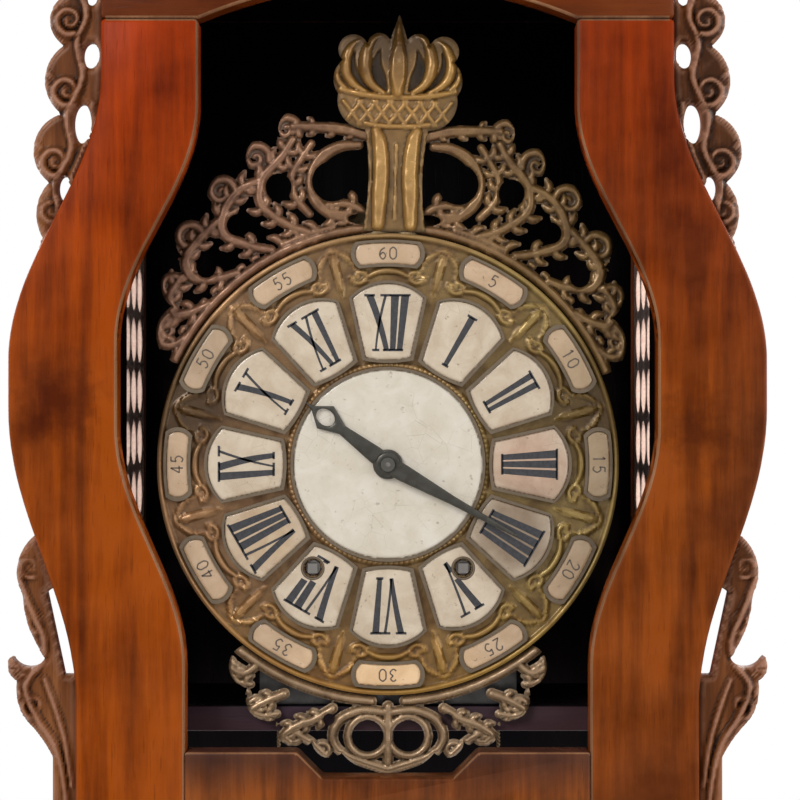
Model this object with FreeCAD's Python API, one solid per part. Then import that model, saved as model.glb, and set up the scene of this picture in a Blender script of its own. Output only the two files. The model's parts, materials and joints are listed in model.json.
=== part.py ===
import FreeCAD, Part
import math
import os

# Hooded wall clock with a cartouche dial, an anchor escapement, a pendulum that hangs free below
# the case, and two weights on lines.
# Millimetres. X runs to the viewer's right, Y towards the wall, Z up. The wall is the plane Y = 0.
# Pieces are drawn about the dial's centre and lowered as they are saved, so that the origin
# lies in the hole of the wall hanger.

Vector = FreeCAD.Vector
os.makedirs("parts", exist_ok=True)

# Driving sizes of the case
HANGER_ABOVE = 28.0
SIDE_ROOM = 17.0
HEAD_ROOM = 19.0
CASE_WALL = 9.0
CASE_FOOT = 176.0
# The back board reaches below the sides, so that it closes the view through the dip of the bottom rail
BACK_DROP = 22.0
BACK_THICK = 16.0
ROOF_THICK = 10.0
SEAT_DROP = 131.0
SEAT_THICK = 14.0
SEAT_BACK = 52.0
SEAT_FRONT = 146.0

# Side windows and their frets
WINDOW_LOW = -100.0
WINDOW_HIGH = 150.0
WINDOW_BACK = 28.0
WINDOW_FRONT = 127.0
FRET_THICK = 4.0
FRET_BORDER = 7.0
FRET_BAR = 5.0
FRET_COLUMNS = 3
FRET_ROWS = 8
# Bulge of a fret hole's sides, as shares of its half width and half height
FRET_ACROSS_SHARE = 0.8
FRET_UP_SHARE = 0.6
SILK_THICK = 0.8

# Wall hanger
HANGER_WIDTH = 36.0
HANGER_THICK = 3.0
HANGER_TAIL = 72.0
HANGER_HOLE = 5.0
HANGER_CROWN = 13.0
SCREW_SHANK = 2.0
SCREW_HEAD = 4.0
SCREW_HEAD_DEEP = 1.5
SCREW_LENGTH = 13.0
SCREW_SET = 0.3
SCREW_PLACES = (45.0, 62.0)

# Door frame, seen from the front
DOOR_THICK = 20.0
DOOR_GAP = 1.0
DIAL_TO_DOOR = 19.5
DOOR_FOOT = 214.0
ARCH_SPRING = 234.0
ARCH_RISE = 20.0
ARCH_SHOULDER = 34.0
ARCH_BACK = 44.0
OPENING_NECK = 99.0
OPENING_BELLY = 141.5
OPENING_HIP = 106.0
NECK_TURN = 190.0
BELLY_HIGH = 65.0
BELLY_LOW = 20.0
HIP_TURN = -105.0
FRAME_NECK = 150.0
FRAME_BELLY = 198.5
FRAME_HIP = 163.0
SHOULDER_TURN = 205.0
SHOULDER_END = 55.0
WAIST_START = 30.0
WAIST_END = -125.0
SILL = -149.5
SILL_DIP = 13.5
SILL_DIP_HALF = 34.0
APRON_LOW = -206.0
APRON_DIP = 22.0
FOOT_ROUND = 12.0

# Carved wings of the door
WING_THICK = 14.0
WING_SET = 3.0

# Dial, from the hour cartouches outwards
DIAL_THICK = 2.5
DISC_RADIUS = 51.0
ENAMEL_THICK = 3.0
RIM_WIDTH = 1.5
RIM_PROUD = 0.8
HOUR_INNER = 56.0
HOUR_OUTER = 97.5
HOUR_FOOT_WIDTH = 24.5
HOUR_HEAD_WIDTH = 39.0
HOUR_HEAD_DROP = 8.0
HOUR_FOOT_LIFT = 1.5
MINUTE_GAP = 10.5
MINUTE_DEEP = 11.5
DIAL_EDGE = 5.5
MINUTE_HALF_ANGLE = 7.6
END_ROUND_SHARE = 0.5
EDGE_BEAD = 3.0
DIAL_HOLE = 6.5
WINDING_HOLE = 5.0
FRONTON_THICK = 4.0
CROWN_THICK = 7.0
# Reach of the widest fret and height of the crown's spike, in shares of the dial's radius
FRET_REACH_SHARE = 1.016
SPIKE_SHARE = 1.944
FOOT_RADIUS = 3.0
FOOT_CIRCLE = 85.0

# Hands
HOUR_HAND = 56.0
MINUTE_HAND = 79.0
HAND_THICK = 1.0
HAND_GAP = 2.0
HOUR_HAND_ANGLE = 307.0
MINUTE_HAND_ANGLE = 119.0
HOUR_HEAD_HALF = 7.5
# Where the hour hand's broad root ends, and its head begins, is widest and narrows, along its length
HOUR_ROOT_SHARE = 0.16
HOUR_NECK_SHARE = 0.55
HOUR_WIDE_SHARE = 0.75
HOUR_TIP_SHARE = 0.9
HOUR_HOLE_ACROSS_SHARE = 0.56
HOUR_HOLE_UP_SHARE = 0.72
# Where the broad root of the minute hand ends and its thin end begins, along its length
MINUTE_ROOT_SHARE = 0.12
MINUTE_NARROW_SHARE = 0.5
HOUR_ROOT = 4.6
HOUR_SHANK = 5.4
MINUTE_ROOT = 4.6
MINUTE_SHANK = 4.8
MINUTE_TIP = 1.8
HUB_HOUR = 8.0
HUB_MINUTE = 6.5
COLLET_RADIUS = 3.8
COLLET_THICK = 1.8

# Movement
BACK_PLATE_DEPTH = 54.0
PLATE_THICK = 3.0
PLATE_GAP = 80.0
PLATE_HALF = 70.0
PLATE_TOP = 92.0
MOTION_ROOM = 10.0
PILLAR_RADIUS = 4.0
UPPER_PILLAR = (30.0, 82.0)
LOWER_PILLAR = (40.0, -121.0)
ARBOR = 1.6
PIVOT = 0.8
RUNNING_FIT = 0.05
END_SHAKE = 0.3
WINDING_ARBOR = 4.0
WINDING_SQUARE = 2.6
CENTRE_ARBOR = 2.6
HOUR_PIPE_WALL = 2.3
HAND_FIT = 0.02

# Teeth: wheel teeth, leaves of the pinion that they drive, module
GREAT_TEETH = 72
GREAT_LEAVES = 8
GREAT_MODULE = 1.0
SECOND_TEETH = 60
SECOND_LEAVES = 10
SECOND_MODULE = 0.9
CENTRE_TEETH = 80
CENTRE_LEAVES = 10
CENTRE_MODULE = 0.6
THIRD_TEETH = 80
THIRD_LEAVES = 8
THIRD_MODULE = 0.5
ESCAPE_TEETH = 30
ESCAPE_RADIUS = 16.0
ESCAPE_DEEP = 2.6
# Shape of an escape tooth, in pitches before and behind its tip
ESCAPE_FRONT_SHARE = 0.08
ESCAPE_TIP_SHARE = 0.04
ESCAPE_HEEL_SHARE = 0.4
CANNON_TEETH = 20
MINUTE_TEETH = 60
MINUTE_MODULE = 0.6
MINUTE_LEAVES = 15
HOUR_TEETH = 60
PIN_TEETH = 60
PIN_LEAVES = 8
PIN_MODULE = 0.8
WARNING_TEETH = 56
WARNING_LEAVES = 8
WARNING_MODULE = 0.6
STRIKE_PINS = 8
STRIKE_PIN_CIRCLE = 21.2
STRIKE_PIN = 1.2
STRIKE_PIN_LONG = 5.0

# Directions of the arbors, in degrees from X towards Z
SECOND_ANGLE = -37.3
GREAT_ANGLE = -67.3
THIRD_ANGLE = 58.8
MINUTE_ANGLE = 200.0
WARNING_ANGLE = 100.0
FLY_ANGLE = 95.0

# Wheels: thickness, and how far the middle of each lies behind the front plate
WHEEL_THICK = 1.6
GREAT_THICK = 3.0
GREAT_SET = 15.0
SECOND_SET = 4.5
CENTRE_SET = 25.0
THIRD_SET = 39.0
ESCAPE_SET = 57.0
PIN_SET = 71.0
WARNING_SET = 9.0
LEAF_LENGTH = 7.0
HUB_RADIUS = 3.4
# Parts of a wheel in modules
RIM_SHARE = 2.0
PIN_RIM_SHARE = 4.0
SPOKE_SHARE = 3.0
SPOKES = 4
CANNON_THICK = 2.0
MOTION_SET = 1.0
MOTION_THICK = 1.4
HOUR_WHEEL_SET = 4.5

# Barrels, lines and weights
BARREL_RADIUS = 20.0
BARREL_GROOVES = 14
GROOVE_DEEP = 0.8
BARREL_FLANGE = 2.0
BARREL_FLANGE_PROUD = 2.6
BARREL_SET = 1.0
BARREL_BACK_ROOM = 16.0
LINE_RADIUS = 1.2
SOFT_GAP = 0.3
SLOT_HALF = 6.0
WEIGHT_RADIUS = 28.0
WEIGHT_LENGTH = 120.0
WEIGHT_TOP = -310.0
WEIGHT_CAP = 7.0
WEIGHT_NECK = 5.0
RING_RADIUS = 6.0
RING_WIRE = 1.4

# Escapement and pendulum
PALLET_CLEARANCE = 0.06
PALLET_TIP_HALF = 0.25
PALLET_BASE_HALF = 1.2
PALLET_REACH = 4.5
PALLET_THICK = 4.0
ANCHOR_ARM = 3.0
ANCHOR_HUB = 4.0
CRUTCH_DEPTH = 49.0
CRUTCH_THICK = 2.0
CRUTCH_DROP = 90.0
CRUTCH_WIDTH = 3.0
CRUTCH_PRONG = 0.8
CRUTCH_COLLAR = 4.5
PENDULUM_DEPTH = 33.0
PENDULUM_LENGTH = 559.0
ROD_WIDTH = 5.0
ROD_THICK = 2.0
CHOP_HALF = 3.5
CHOP_DEEP = 7.0
CHOP_DROP = 12.0
CHOP_RISE = 0.5
CHOP_SLOT = 1.2
CHOP_SLOT_DEEP = 4.0
SPRING_THICK = 0.3
SPRING_WIDE = 6.0
SPRING_DIP = 2.5
COCK_HALF = 17.0
COCK_SHEET = 3.0
COCK_FOOT = 7.0
COCK_RISE = 16.0
COCK_DROP = 4.0
COCK_BACK = 27.0
COCK_BLOCK = 6.0
BOB_RADIUS = 55.0
BOB_THICK = 24.0
BOB_EDGE = 3.0
BOB_FLAT = 6.0
BOB_SWELL_SHARE = 0.74
ROD_SCREW = 1.5
NUT_RADIUS = 7.0
NUT_THICK = 6.0

# Striking
HAMMER_PIVOT = (-62.0, -5.0)
HAMMER_TAIL = (-49.0, -12.5)
HAMMER_TOP = (-56.0, 118.0)
HAMMER_ARM = 3.0
HAMMER_TAIL_SET = 75.0
HAMMER_TAIL_THICK = 3.0
HAMMER_HEAD = 5.0
HAMMER_HEAD_GAP = 1.0
FLY_HALF = 13.0
FLY_LONG = 30.0
FLY_THICK = 0.8
FLY_SET = 27.0
BELL_RADIUS = 40.0
BELL_HEIGHT = 34.0
BELL_WALL = 2.6
BELL_LOW = 112.0
BELL_TOP_SHARE = 0.3
BELL_SIDE_SHARE = 0.86
BELL_RISE_SHARE = 0.55
STAND_HALF = 6.0
STAND_THICK = 3.0
STAND_LOW = 82.0
STAND_ARM_HIGH = 104.0
STAND_POST = 3.0
STAND_NUT = 5.0
STAND_NUT_THICK = 4.0

# Door hinges and latch
HINGE_HEIGHTS = (85.0, -45.0)
HINGE_LENGTH = 42.0
KNUCKLE_RADIUS = 2.8
KNUCKLE_ROOM = 0.4
HINGE_PIN = 1.5
LEAF_THICK = 1.2
LEAF_WIDE = 21.0
KNUCKLE_GAP = 0.3
# From the back of the door to the pin that the latch's notch drops over
CATCH_SETBACK = 6.0
LATCH_HEIGHT = -10.0
LATCH_REACH = 16.0
LATCH_WIDE = 7.0
LATCH_THICK = 2.0
LATCH_TAIL = 5.0
LATCH_PIN = 1.5
LATCH_ROOM = 0.5
STAPLE_THICK = 1.5
STAPLE_HALF = 4.0

# One overrun serves every cut
OVERRUN = 1.0

# Sizes of the dial and the case worked out from the sizes above
minute_inner = HOUR_OUTER + MINUTE_GAP
minute_outer = minute_inner + MINUTE_DEEP
dial_radius = minute_outer + DIAL_EDGE
case_inner = dial_radius * FRET_REACH_SHARE + SIDE_ROOM
case_half = case_inner + CASE_WALL
case_top = dial_radius * SPIKE_SHARE + HEAD_ROOM
hanger_rise = case_top + HANGER_ABOVE

# Depths worked out from the sizes above, all measured from the wall
back_plate_front = BACK_PLATE_DEPTH + PLATE_THICK
front_plate_back = back_plate_front + PLATE_GAP
front_plate_front = front_plate_back + PLATE_THICK
dial_back = front_plate_front + MOTION_ROOM
dial_front = dial_back + DIAL_THICK
enamel_front = dial_front + ENAMEL_THICK
hour_hand_back = enamel_front + HAND_GAP
minute_hand_back = hour_hand_back + HAND_THICK + HAND_GAP
collet_back = minute_hand_back + HAND_THICK
door_back = dial_front + DIAL_TO_DOOR
latch_depth = door_back - CATCH_SETBACK - LATCH_REACH
door_front = door_back + DOOR_THICK
case_front = door_back - DOOR_GAP
barrel_depth_front = front_plate_back - GREAT_SET - GREAT_THICK / 2 - BARREL_SET
barrel_depth_back = back_plate_front + BARREL_BACK_ROOM
barrel_middle = (barrel_depth_front + barrel_depth_back) / 2


def place(x, z, depth=0.0):
    return Vector(x, -depth, z)


def turned(radius, degrees):
    angle = math.radians(degrees)
    return radius * math.cos(angle), radius * math.sin(angle)


def beside(centre, distance, degrees):
    dx, dz = turned(distance, degrees)
    return centre[0] + dx, centre[1] + dz


# Places of the arbors
CENTRE = (0.0, 0.0)
second_distance = (SECOND_TEETH + SECOND_LEAVES) * SECOND_MODULE / 2
great_distance = (GREAT_TEETH + GREAT_LEAVES) * GREAT_MODULE / 2
third_distance = (CENTRE_TEETH + CENTRE_LEAVES) * CENTRE_MODULE / 2
escape_distance = (THIRD_TEETH + THIRD_LEAVES) * THIRD_MODULE / 2
minute_distance = (CANNON_TEETH + MINUTE_TEETH) * MINUTE_MODULE / 2
hour_module = 2 * minute_distance / (MINUTE_LEAVES + HOUR_TEETH)
warning_distance = (PIN_TEETH + WARNING_LEAVES) * PIN_MODULE / 2
fly_distance = (WARNING_TEETH + WARNING_LEAVES) * WARNING_MODULE / 2
SECOND = beside(CENTRE, second_distance, SECOND_ANGLE)
GREAT = beside(SECOND, great_distance, GREAT_ANGLE)
THIRD = beside(CENTRE, third_distance, THIRD_ANGLE)
ESCAPE = (0.0, THIRD[1] + math.sqrt(escape_distance ** 2 - THIRD[0] ** 2))
ANCHOR = (0.0, ESCAPE[1] + ESCAPE_RADIUS * math.sqrt(2))
MINUTE = beside(CENTRE, minute_distance, MINUTE_ANGLE)
STRIKE_GREAT = (-GREAT[0], GREAT[1])
PIN = (-SECOND[0], SECOND[1])
WARNING = beside(PIN, warning_distance, WARNING_ANGLE)
FLY = beside(WARNING, fly_distance, FLY_ANGLE)
line_x = GREAT[0] + BARREL_RADIUS + LINE_RADIUS + SOFT_GAP


def direction(start, end):
    return math.degrees(math.atan2(end[1] - start[1], end[0] - start[0]))


def save(shape, name):
    shape = shape.copy()
    shape.translate(Vector(0, 0, -hanger_rise))
    if not shape.isValid():
        print("not valid:", name)
    shape.exportStep("parts/" + name + ".step")
    print(name, len(shape.Solids), "solids", round(shape.Volume))


def group(shapes):
    return Part.makeCompound(shapes)


def fused(shapes):
    return shapes[0].multiFuse(shapes[1:]).removeSplitter()


def box(x_low, x_high, depth_back, depth_front, z_low, z_high):
    corner = place(x_low, z_low, depth_front)
    return Part.makeBox(x_high - x_low, depth_front - depth_back, z_high - z_low, corner)


def disc(radius, centre, depth_back, depth_front):
    return Part.makeCylinder(radius, depth_front - depth_back, place(centre[0], centre[1], depth_front),
                             Vector(0, 1, 0))


def ring(outer, inner, centre, depth_back, depth_front):
    hole = disc(inner, centre, depth_back - OVERRUN, depth_front + OVERRUN)
    return disc(outer, centre, depth_back, depth_front).cut(hole)


def post(radius, x, depth, z_low, z_high):
    return Part.makeCylinder(radius, z_high - z_low, place(x, z_low, depth), Vector(0, 0, 1))


def line(start, end):
    return Part.LineSegment(place(*start), place(*end)).toShape()


def arc(start, middle, end):
    return Part.Arc(place(*start), place(*middle), place(*end)).toShape()


def curve(points):
    spline = Part.BSplineCurve()
    spline.interpolate([place(*point) for point in points])
    return spline.toShape()


def ease(start, end, steps=8):
    # A half wave from one width to another as the height runs from one value to the next.
    points = []
    for step in range(steps + 1):
        share = step / steps
        swing = (1 - math.cos(math.pi * share)) / 2
        points.append((start[0] + (end[0] - start[0]) * swing, start[1] + (end[1] - start[1]) * share))
    return curve(points)


def sheet(edges):
    return Part.Face(Part.Wire(edges))


def polygon(points):
    return Part.Face(Part.makePolygon([place(*point) for point in points + points[:1]]))


def slab(face, depth_back, depth_front):
    solid = face.extrude(Vector(0, depth_back - depth_front, 0))
    solid = solid.copy()
    solid.translate(Vector(0, -depth_back, 0))
    return solid


def mirrored(shape):
    return shape.mirror(Vector(0, 0, 0), Vector(1, 0, 0))


def oval(x, z, half_x, half_z):
    if half_x == half_z:
        return Part.Face(Part.Wire([Part.Circle(place(x, z), Vector(0, 1, 0), half_x).toShape()]))
    if half_x > half_z:
        shape = Part.Ellipse(place(x, z), half_x, half_z).toShape()
        shape.rotate(place(x, z), Vector(1, 0, 0), 90)
        return Part.Face(Part.Wire([shape]))
    shape = Part.Ellipse(place(x, z), half_z, half_x).toShape()
    shape.rotate(place(x, z), Vector(1, 0, 0), 90)
    shape.rotate(place(x, z), Vector(0, 1, 0), 90)
    return Part.Face(Part.Wire([shape]))


def bar(start, end, width, depth_back, depth_front):
    # A flat bar with round ends between two points.
    length = math.hypot(end[0] - start[0], end[1] - start[1])
    across = ((end[1] - start[1]) / length * width / 2, (start[0] - end[0]) / length * width / 2)
    corners = [(start[0] + across[0], start[1] + across[1]), (end[0] + across[0], end[1] + across[1]),
               (end[0] - across[0], end[1] - across[1]), (start[0] - across[0], start[1] - across[1])]
    body = slab(polygon(corners), depth_back, depth_front)
    ends = [disc(width / 2, point, depth_back, depth_front) for point in (start, end)]
    return fused([body] + ends)


def spun(shape, centre, clockwise):
    # Turned about the dial's own direction, clockwise as the viewer sees it.
    shape = shape.copy()
    shape.rotate(place(*centre), Vector(0, 1, 0), clockwise)
    return shape


# Toothed wheels
TOOTH_SHARES = {"root": 1.2, "tip": 0.75, "root_width": 0.27, "tip_width": 0.09}
LEAF_SHARES = {"root": 1.25, "tip": 0.7, "root_width": 0.23, "tip_width": 0.1}


def toothed(centre, teeth, module, tooth_at, shares):
    radius = teeth * module / 2
    root = radius - shares["root"] * module
    tip = radius + shares["tip"] * module
    pitch = 360.0 / teeth
    points = []
    for tooth in range(teeth):
        middle = tooth_at + tooth * pitch
        points.append(beside(centre, root, middle - shares["root_width"] * pitch))
        points.append(beside(centre, tip, middle - shares["tip_width"] * pitch))
        points.append(beside(centre, tip, middle + shares["tip_width"] * pitch))
        points.append(beside(centre, root, middle + shares["root_width"] * pitch))
    return polygon(points)


def crossings(centre, inner, outer, width, depth_back, depth_front):
    # The windows between the spokes of a wheel.
    window = ring(outer, inner, centre, depth_back - OVERRUN, depth_front + OVERRUN)
    arms = []
    for spoke in range(SPOKES):
        tip = beside(centre, outer + OVERRUN, 360.0 * spoke / SPOKES)
        arms.append(bar(centre, tip, width, depth_back - 2 * OVERRUN, depth_front + 2 * OVERRUN))
    return window.cut(fused(arms))


def wheel(centre, teeth, module, tooth_at, middle, thick, rim_share=RIM_SHARE):
    depth_back = middle - thick / 2
    depth_front = middle + thick / 2
    blank = slab(toothed(centre, teeth, module, tooth_at, TOOTH_SHARES), depth_back, depth_front)
    root = teeth * module / 2 - TOOTH_SHARES["root"] * module
    rim = root - rim_share * module
    hub = HUB_RADIUS + RIM_SHARE * module
    return blank.cut(crossings(centre, hub, rim, SPOKE_SHARE * module, depth_back, depth_front))


def pinion(centre, leaves, module, gap_at, middle):
    outline = toothed(centre, leaves, module, gap_at + 180.0 / leaves, LEAF_SHARES)
    return slab(outline, middle - LEAF_LENGTH / 2, middle + LEAF_LENGTH / 2)


def arbor(centre):
    # A thick arbor between the plates with thin pivots that run in them.
    body = disc(ARBOR, centre, back_plate_front + END_SHAKE, front_plate_back - END_SHAKE)
    pivot = disc(PIVOT, centre, BACK_PLATE_DEPTH, front_plate_front)
    return fused([body, pivot])


great_middle = front_plate_back - GREAT_SET
second_middle = front_plate_back - SECOND_SET
centre_middle = front_plate_back - CENTRE_SET
third_middle = front_plate_back - THIRD_SET
escape_middle = front_plate_back - ESCAPE_SET
pin_middle = front_plate_back - PIN_SET
warning_middle = front_plate_back - WARNING_SET


def great_wheel(centre, partner):
    toward = direction(centre, partner)
    body = wheel(centre, GREAT_TEETH, GREAT_MODULE, toward, great_middle, GREAT_THICK)
    boss = disc(WINDING_ARBOR + HUB_RADIUS, centre, great_middle - GREAT_THICK / 2,
                great_middle + GREAT_THICK)
    bore = disc(WINDING_ARBOR + RUNNING_FIT, centre, BACK_PLATE_DEPTH, front_plate_front)
    return fused([body, boss]).cut(bore)


def barrel(centre):
    # A grooved drum with a flange at each end, on its winding arbor.
    length = barrel_depth_front - barrel_depth_back
    pitch = (length - 2 * BARREL_FLANGE) / BARREL_GROOVES
    start = barrel_depth_back + BARREL_FLANGE
    flange = BARREL_RADIUS + BARREL_FLANGE_PROUD
    profile = [(0.0, barrel_depth_back), (flange, barrel_depth_back), (flange, start),
               (BARREL_RADIUS, start)]
    for groove in range(BARREL_GROOVES):
        groove_start = start + pitch * groove
        profile.append((BARREL_RADIUS - GROOVE_DEEP, groove_start + pitch / 2))
        profile.append((BARREL_RADIUS, groove_start + pitch))
    profile += [(flange, barrel_depth_front - BARREL_FLANGE), (flange, barrel_depth_front),
                (0.0, barrel_depth_front)]
    corners = [Vector(centre[0] + radius, -depth, centre[1]) for radius, depth in profile]
    face = Part.Face(Part.makePolygon(corners + corners[:1]))
    drum = face.revolve(place(*centre), Vector(0, 1, 0), 360)
    shaft = disc(WINDING_ARBOR, centre, back_plate_front + END_SHAKE, dial_back)
    pivot = disc(PIVOT, centre, BACK_PLATE_DEPTH, back_plate_front + END_SHAKE)
    square = box(centre[0] - WINDING_SQUARE, centre[0] + WINDING_SQUARE, dial_back, enamel_front,
                 centre[1] - WINDING_SQUARE, centre[1] + WINDING_SQUARE)
    return fused([drum, shaft, pivot, square])


# Door frame
arch_top = ARCH_SPRING + ARCH_SHOULDER


def frame_outer_edge():
    # From the arch down to the foot of the stile, on the right.
    return [line((FRAME_NECK, ARCH_SPRING), (FRAME_NECK, SHOULDER_TURN)),
            ease((FRAME_NECK, SHOULDER_TURN), (FRAME_BELLY, SHOULDER_END)),
            line((FRAME_BELLY, SHOULDER_END), (FRAME_BELLY, WAIST_START)),
            ease((FRAME_BELLY, WAIST_START), (FRAME_HIP, WAIST_END))]


def stile():
    foot = -DOOR_FOOT
    edges = frame_outer_edge()
    edges += [line((FRAME_HIP, WAIST_END), (FRAME_HIP, foot + FOOT_ROUND)),
              arc((FRAME_HIP, foot + FOOT_ROUND),
                  (FRAME_HIP - FOOT_ROUND * (1 - math.sqrt(0.5)), foot + FOOT_ROUND * (1 - math.sqrt(0.5))),
                  (FRAME_HIP - FOOT_ROUND, foot)),
              line((FRAME_HIP - FOOT_ROUND, foot), (OPENING_HIP, foot)),
              line((OPENING_HIP, foot), (OPENING_HIP, HIP_TURN)),
              ease((OPENING_HIP, HIP_TURN), (OPENING_BELLY, BELLY_LOW)),
              line((OPENING_BELLY, BELLY_LOW), (OPENING_BELLY, BELLY_HIGH)),
              ease((OPENING_BELLY, BELLY_HIGH), (OPENING_NECK, NECK_TURN)),
              line((OPENING_NECK, NECK_TURN), (OPENING_NECK, ARCH_SPRING)),
              line((OPENING_NECK, ARCH_SPRING), (FRAME_NECK, ARCH_SPRING))]
    return slab(sheet(edges), door_back, door_front)


def arch_rail():
    edges = [arc((-OPENING_NECK, ARCH_SPRING), (0, ARCH_SPRING + ARCH_RISE), (OPENING_NECK, ARCH_SPRING)),
             line((OPENING_NECK, ARCH_SPRING), (FRAME_NECK, ARCH_SPRING)),
             line((FRAME_NECK, ARCH_SPRING), (FRAME_NECK, arch_top)),
             arc((FRAME_NECK, arch_top), (0, arch_top + ARCH_BACK), (-FRAME_NECK, arch_top)),
             line((-FRAME_NECK, arch_top), (-FRAME_NECK, ARCH_SPRING)),
             line((-FRAME_NECK, ARCH_SPRING), (-OPENING_NECK, ARCH_SPRING))]
    return slab(sheet(edges), door_back, door_front)


def bottom_rail():
    half = OPENING_HIP
    dip = SILL - SILL_DIP
    hollow = APRON_LOW + APRON_DIP
    edges = [line((-half, SILL), (-SILL_DIP_HALF - SILL_DIP, SILL)),
             line((-SILL_DIP_HALF - SILL_DIP, SILL), (-SILL_DIP_HALF, dip)),
             line((-SILL_DIP_HALF, dip), (SILL_DIP_HALF, dip)),
             line((SILL_DIP_HALF, dip), (SILL_DIP_HALF + SILL_DIP, SILL)),
             line((SILL_DIP_HALF + SILL_DIP, SILL), (half, SILL)),
             line((half, SILL), (half, APRON_LOW)),
             arc((half, APRON_LOW), (half / 2, hollow), (0, APRON_LOW)),
             arc((0, APRON_LOW), (-half / 2, hollow), (-half, APRON_LOW)),
             line((-half, APRON_LOW), (-half, SILL))]
    return slab(sheet(edges), door_back, door_front)


def scallops(start, pairs):
    # Arcs from notch to notch, each through the lobe between them.
    edges = []
    for lobe, notch in pairs:
        edges.append(arc(start, lobe, notch))
        start = notch
    return edges


# Lobes and notches of the carving, as reach from the clock's middle line and height
UPPER_WING_LOBES = [((176.0, 262.0), (168.0, 248.0)), ((177.5, 234.0), (170.0, 221.0)),
                    ((179.5, 197.0), (171.5, 185.0)), ((185.5, 160.0), (178.0, 149.0)),
                    ((184.5, 135.0), (181.5, 120.0))]
UPPER_WING_TOP = (152.0, 281.0)
UPPER_WING_HOLES = [(155.5, 248.0, 3.5, 6.0), (156.0, 216.0, 4.5, 7.0), (160.5, 180.0, 5.0, 10.5),
                    (170.0, 146.0, 3.5, 6.5)]
UPPER_WING_LOW = 108.0
# The cut that tapers the wing off runs past the frame's edge by this share of its length
TAPER_SHARE = 1.5
LOWER_WING_HIGH = -36.0
LOWER_WING_EDGE = [((194.5, -52.0), (192.0, -67.0)), ((190.0, -80.0), (180.0, -101.0))]
LOWER_WING_HOOK = [((190.0, -106.0), (198.0, -100.0)), ((199.5, -107.0), (195.0, -113.0)),
                   ((193.5, -127.0), (186.0, -138.0)), ((180.0, -146.0), (176.0, -153.0))]
SLIT_TOP = -60.0
SLIT_LOW = -110.0
SLIT_WIDTH = 6.5


def edge_x(height):
    # Half width of the main frame at a height below the belly.
    share = (WAIST_START - height) / (WAIST_START - WAIST_END)
    return FRAME_BELLY + (FRAME_HIP - FRAME_BELLY) * (1 - math.cos(math.pi * share)) / 2


def shoulder_x(height):
    # Half width of the main frame at a height between its neck and its belly.
    share = (height - SHOULDER_END) / (SHOULDER_TURN - SHOULDER_END)
    return FRAME_BELLY + (FRAME_NECK - FRAME_BELLY) * (1 - math.cos(math.pi * share)) / 2


def wing_depths():
    return door_back + WING_SET, door_back + WING_SET + WING_THICK


def upper_wing():
    back, front = wing_depths()
    edges = [line((FRAME_NECK, arch_top), UPPER_WING_TOP)]
    edges += scallops(UPPER_WING_TOP, UPPER_WING_LOBES)
    end = (FRAME_BELLY, SHOULDER_END)
    last = UPPER_WING_LOBES[-1][1]
    edges += [line(last, (FRAME_BELLY, last[1])), line((FRAME_BELLY, last[1]), end),
              ease(end, (FRAME_NECK, SHOULDER_TURN)),
              line((FRAME_NECK, SHOULDER_TURN), (FRAME_NECK, arch_top))]
    body = slab(sheet(edges), back, front)
    # Below the last lobe the wing tapers off to where it meets the frame's edge.
    beyond_x = last[0] + (shoulder_x(UPPER_WING_LOW) - last[0]) * TAPER_SHARE
    beyond_z = last[1] + (UPPER_WING_LOW - last[1]) * TAPER_SHARE
    waste = polygon([last, (beyond_x, beyond_z), (beyond_x, SHOULDER_END - OVERRUN),
                     (FRAME_BELLY + OVERRUN, SHOULDER_END - OVERRUN), (FRAME_BELLY + OVERRUN, last[1])])
    body = body.cut(slab(waste, back - OVERRUN, front + OVERRUN))
    for x, z, half_x, half_z in UPPER_WING_HOLES:
        body = body.cut(slab(oval(x, z, half_x, half_z), back - OVERRUN, front + OVERRUN))
    return body


def lower_wing():
    back, front = wing_depths()
    foot = -DOOR_FOOT + FOOT_ROUND
    start = (edge_x(LOWER_WING_HIGH), LOWER_WING_HIGH)
    strip = LOWER_WING_HOOK[-1][1][0]
    edges = scallops(start, LOWER_WING_EDGE + LOWER_WING_HOOK)
    edges += [line(LOWER_WING_HOOK[-1][1], (strip, foot)),
              line((strip, foot), (FRAME_HIP, foot)),
              line((FRAME_HIP, foot), (FRAME_HIP, WAIST_END))]
    steps = 8
    points = []
    for step in range(steps + 1):
        height = WAIST_END + (LOWER_WING_HIGH - WAIST_END) * step / steps
        points.append((edge_x(height), height))
    edges.append(curve(points))
    body = slab(sheet(edges), back, front)
    slit = [(edge_x(SLIT_TOP) - SLIT_WIDTH, SLIT_TOP),
            (edge_x(SLIT_TOP) + SLIT_WIDTH / 2, SLIT_TOP - SLIT_WIDTH),
            (edge_x(SLIT_LOW) + SLIT_WIDTH, SLIT_LOW),
            (edge_x(SLIT_LOW) - SLIT_WIDTH, SLIT_LOW)]
    return body.cut(slab(polygon(slit), back - OVERRUN, front + OVERRUN))


CREST_HALF = 62.0
CREST_LOBES = [((60.0, 322.0), (44.0, 320.0)), ((34.0, 337.0), (20.0, 331.0)),
               ((0.0, 356.0), (-20.0, 331.0)), ((-34.0, 337.0), (-44.0, 320.0)), ((-60.0, 322.0), None)]
CREST_HOLES = [(28.0, 320.0, 7.0, 5.0), (-28.0, 320.0, 7.0, 5.0), (0.0, 333.0, 6.0, 9.0)]


def arch_back_height(x):
    radius = (FRAME_NECK ** 2 + ARCH_BACK ** 2) / (2 * ARCH_BACK)
    return arch_top + ARCH_BACK - radius + math.sqrt(radius ** 2 - x ** 2)


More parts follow.
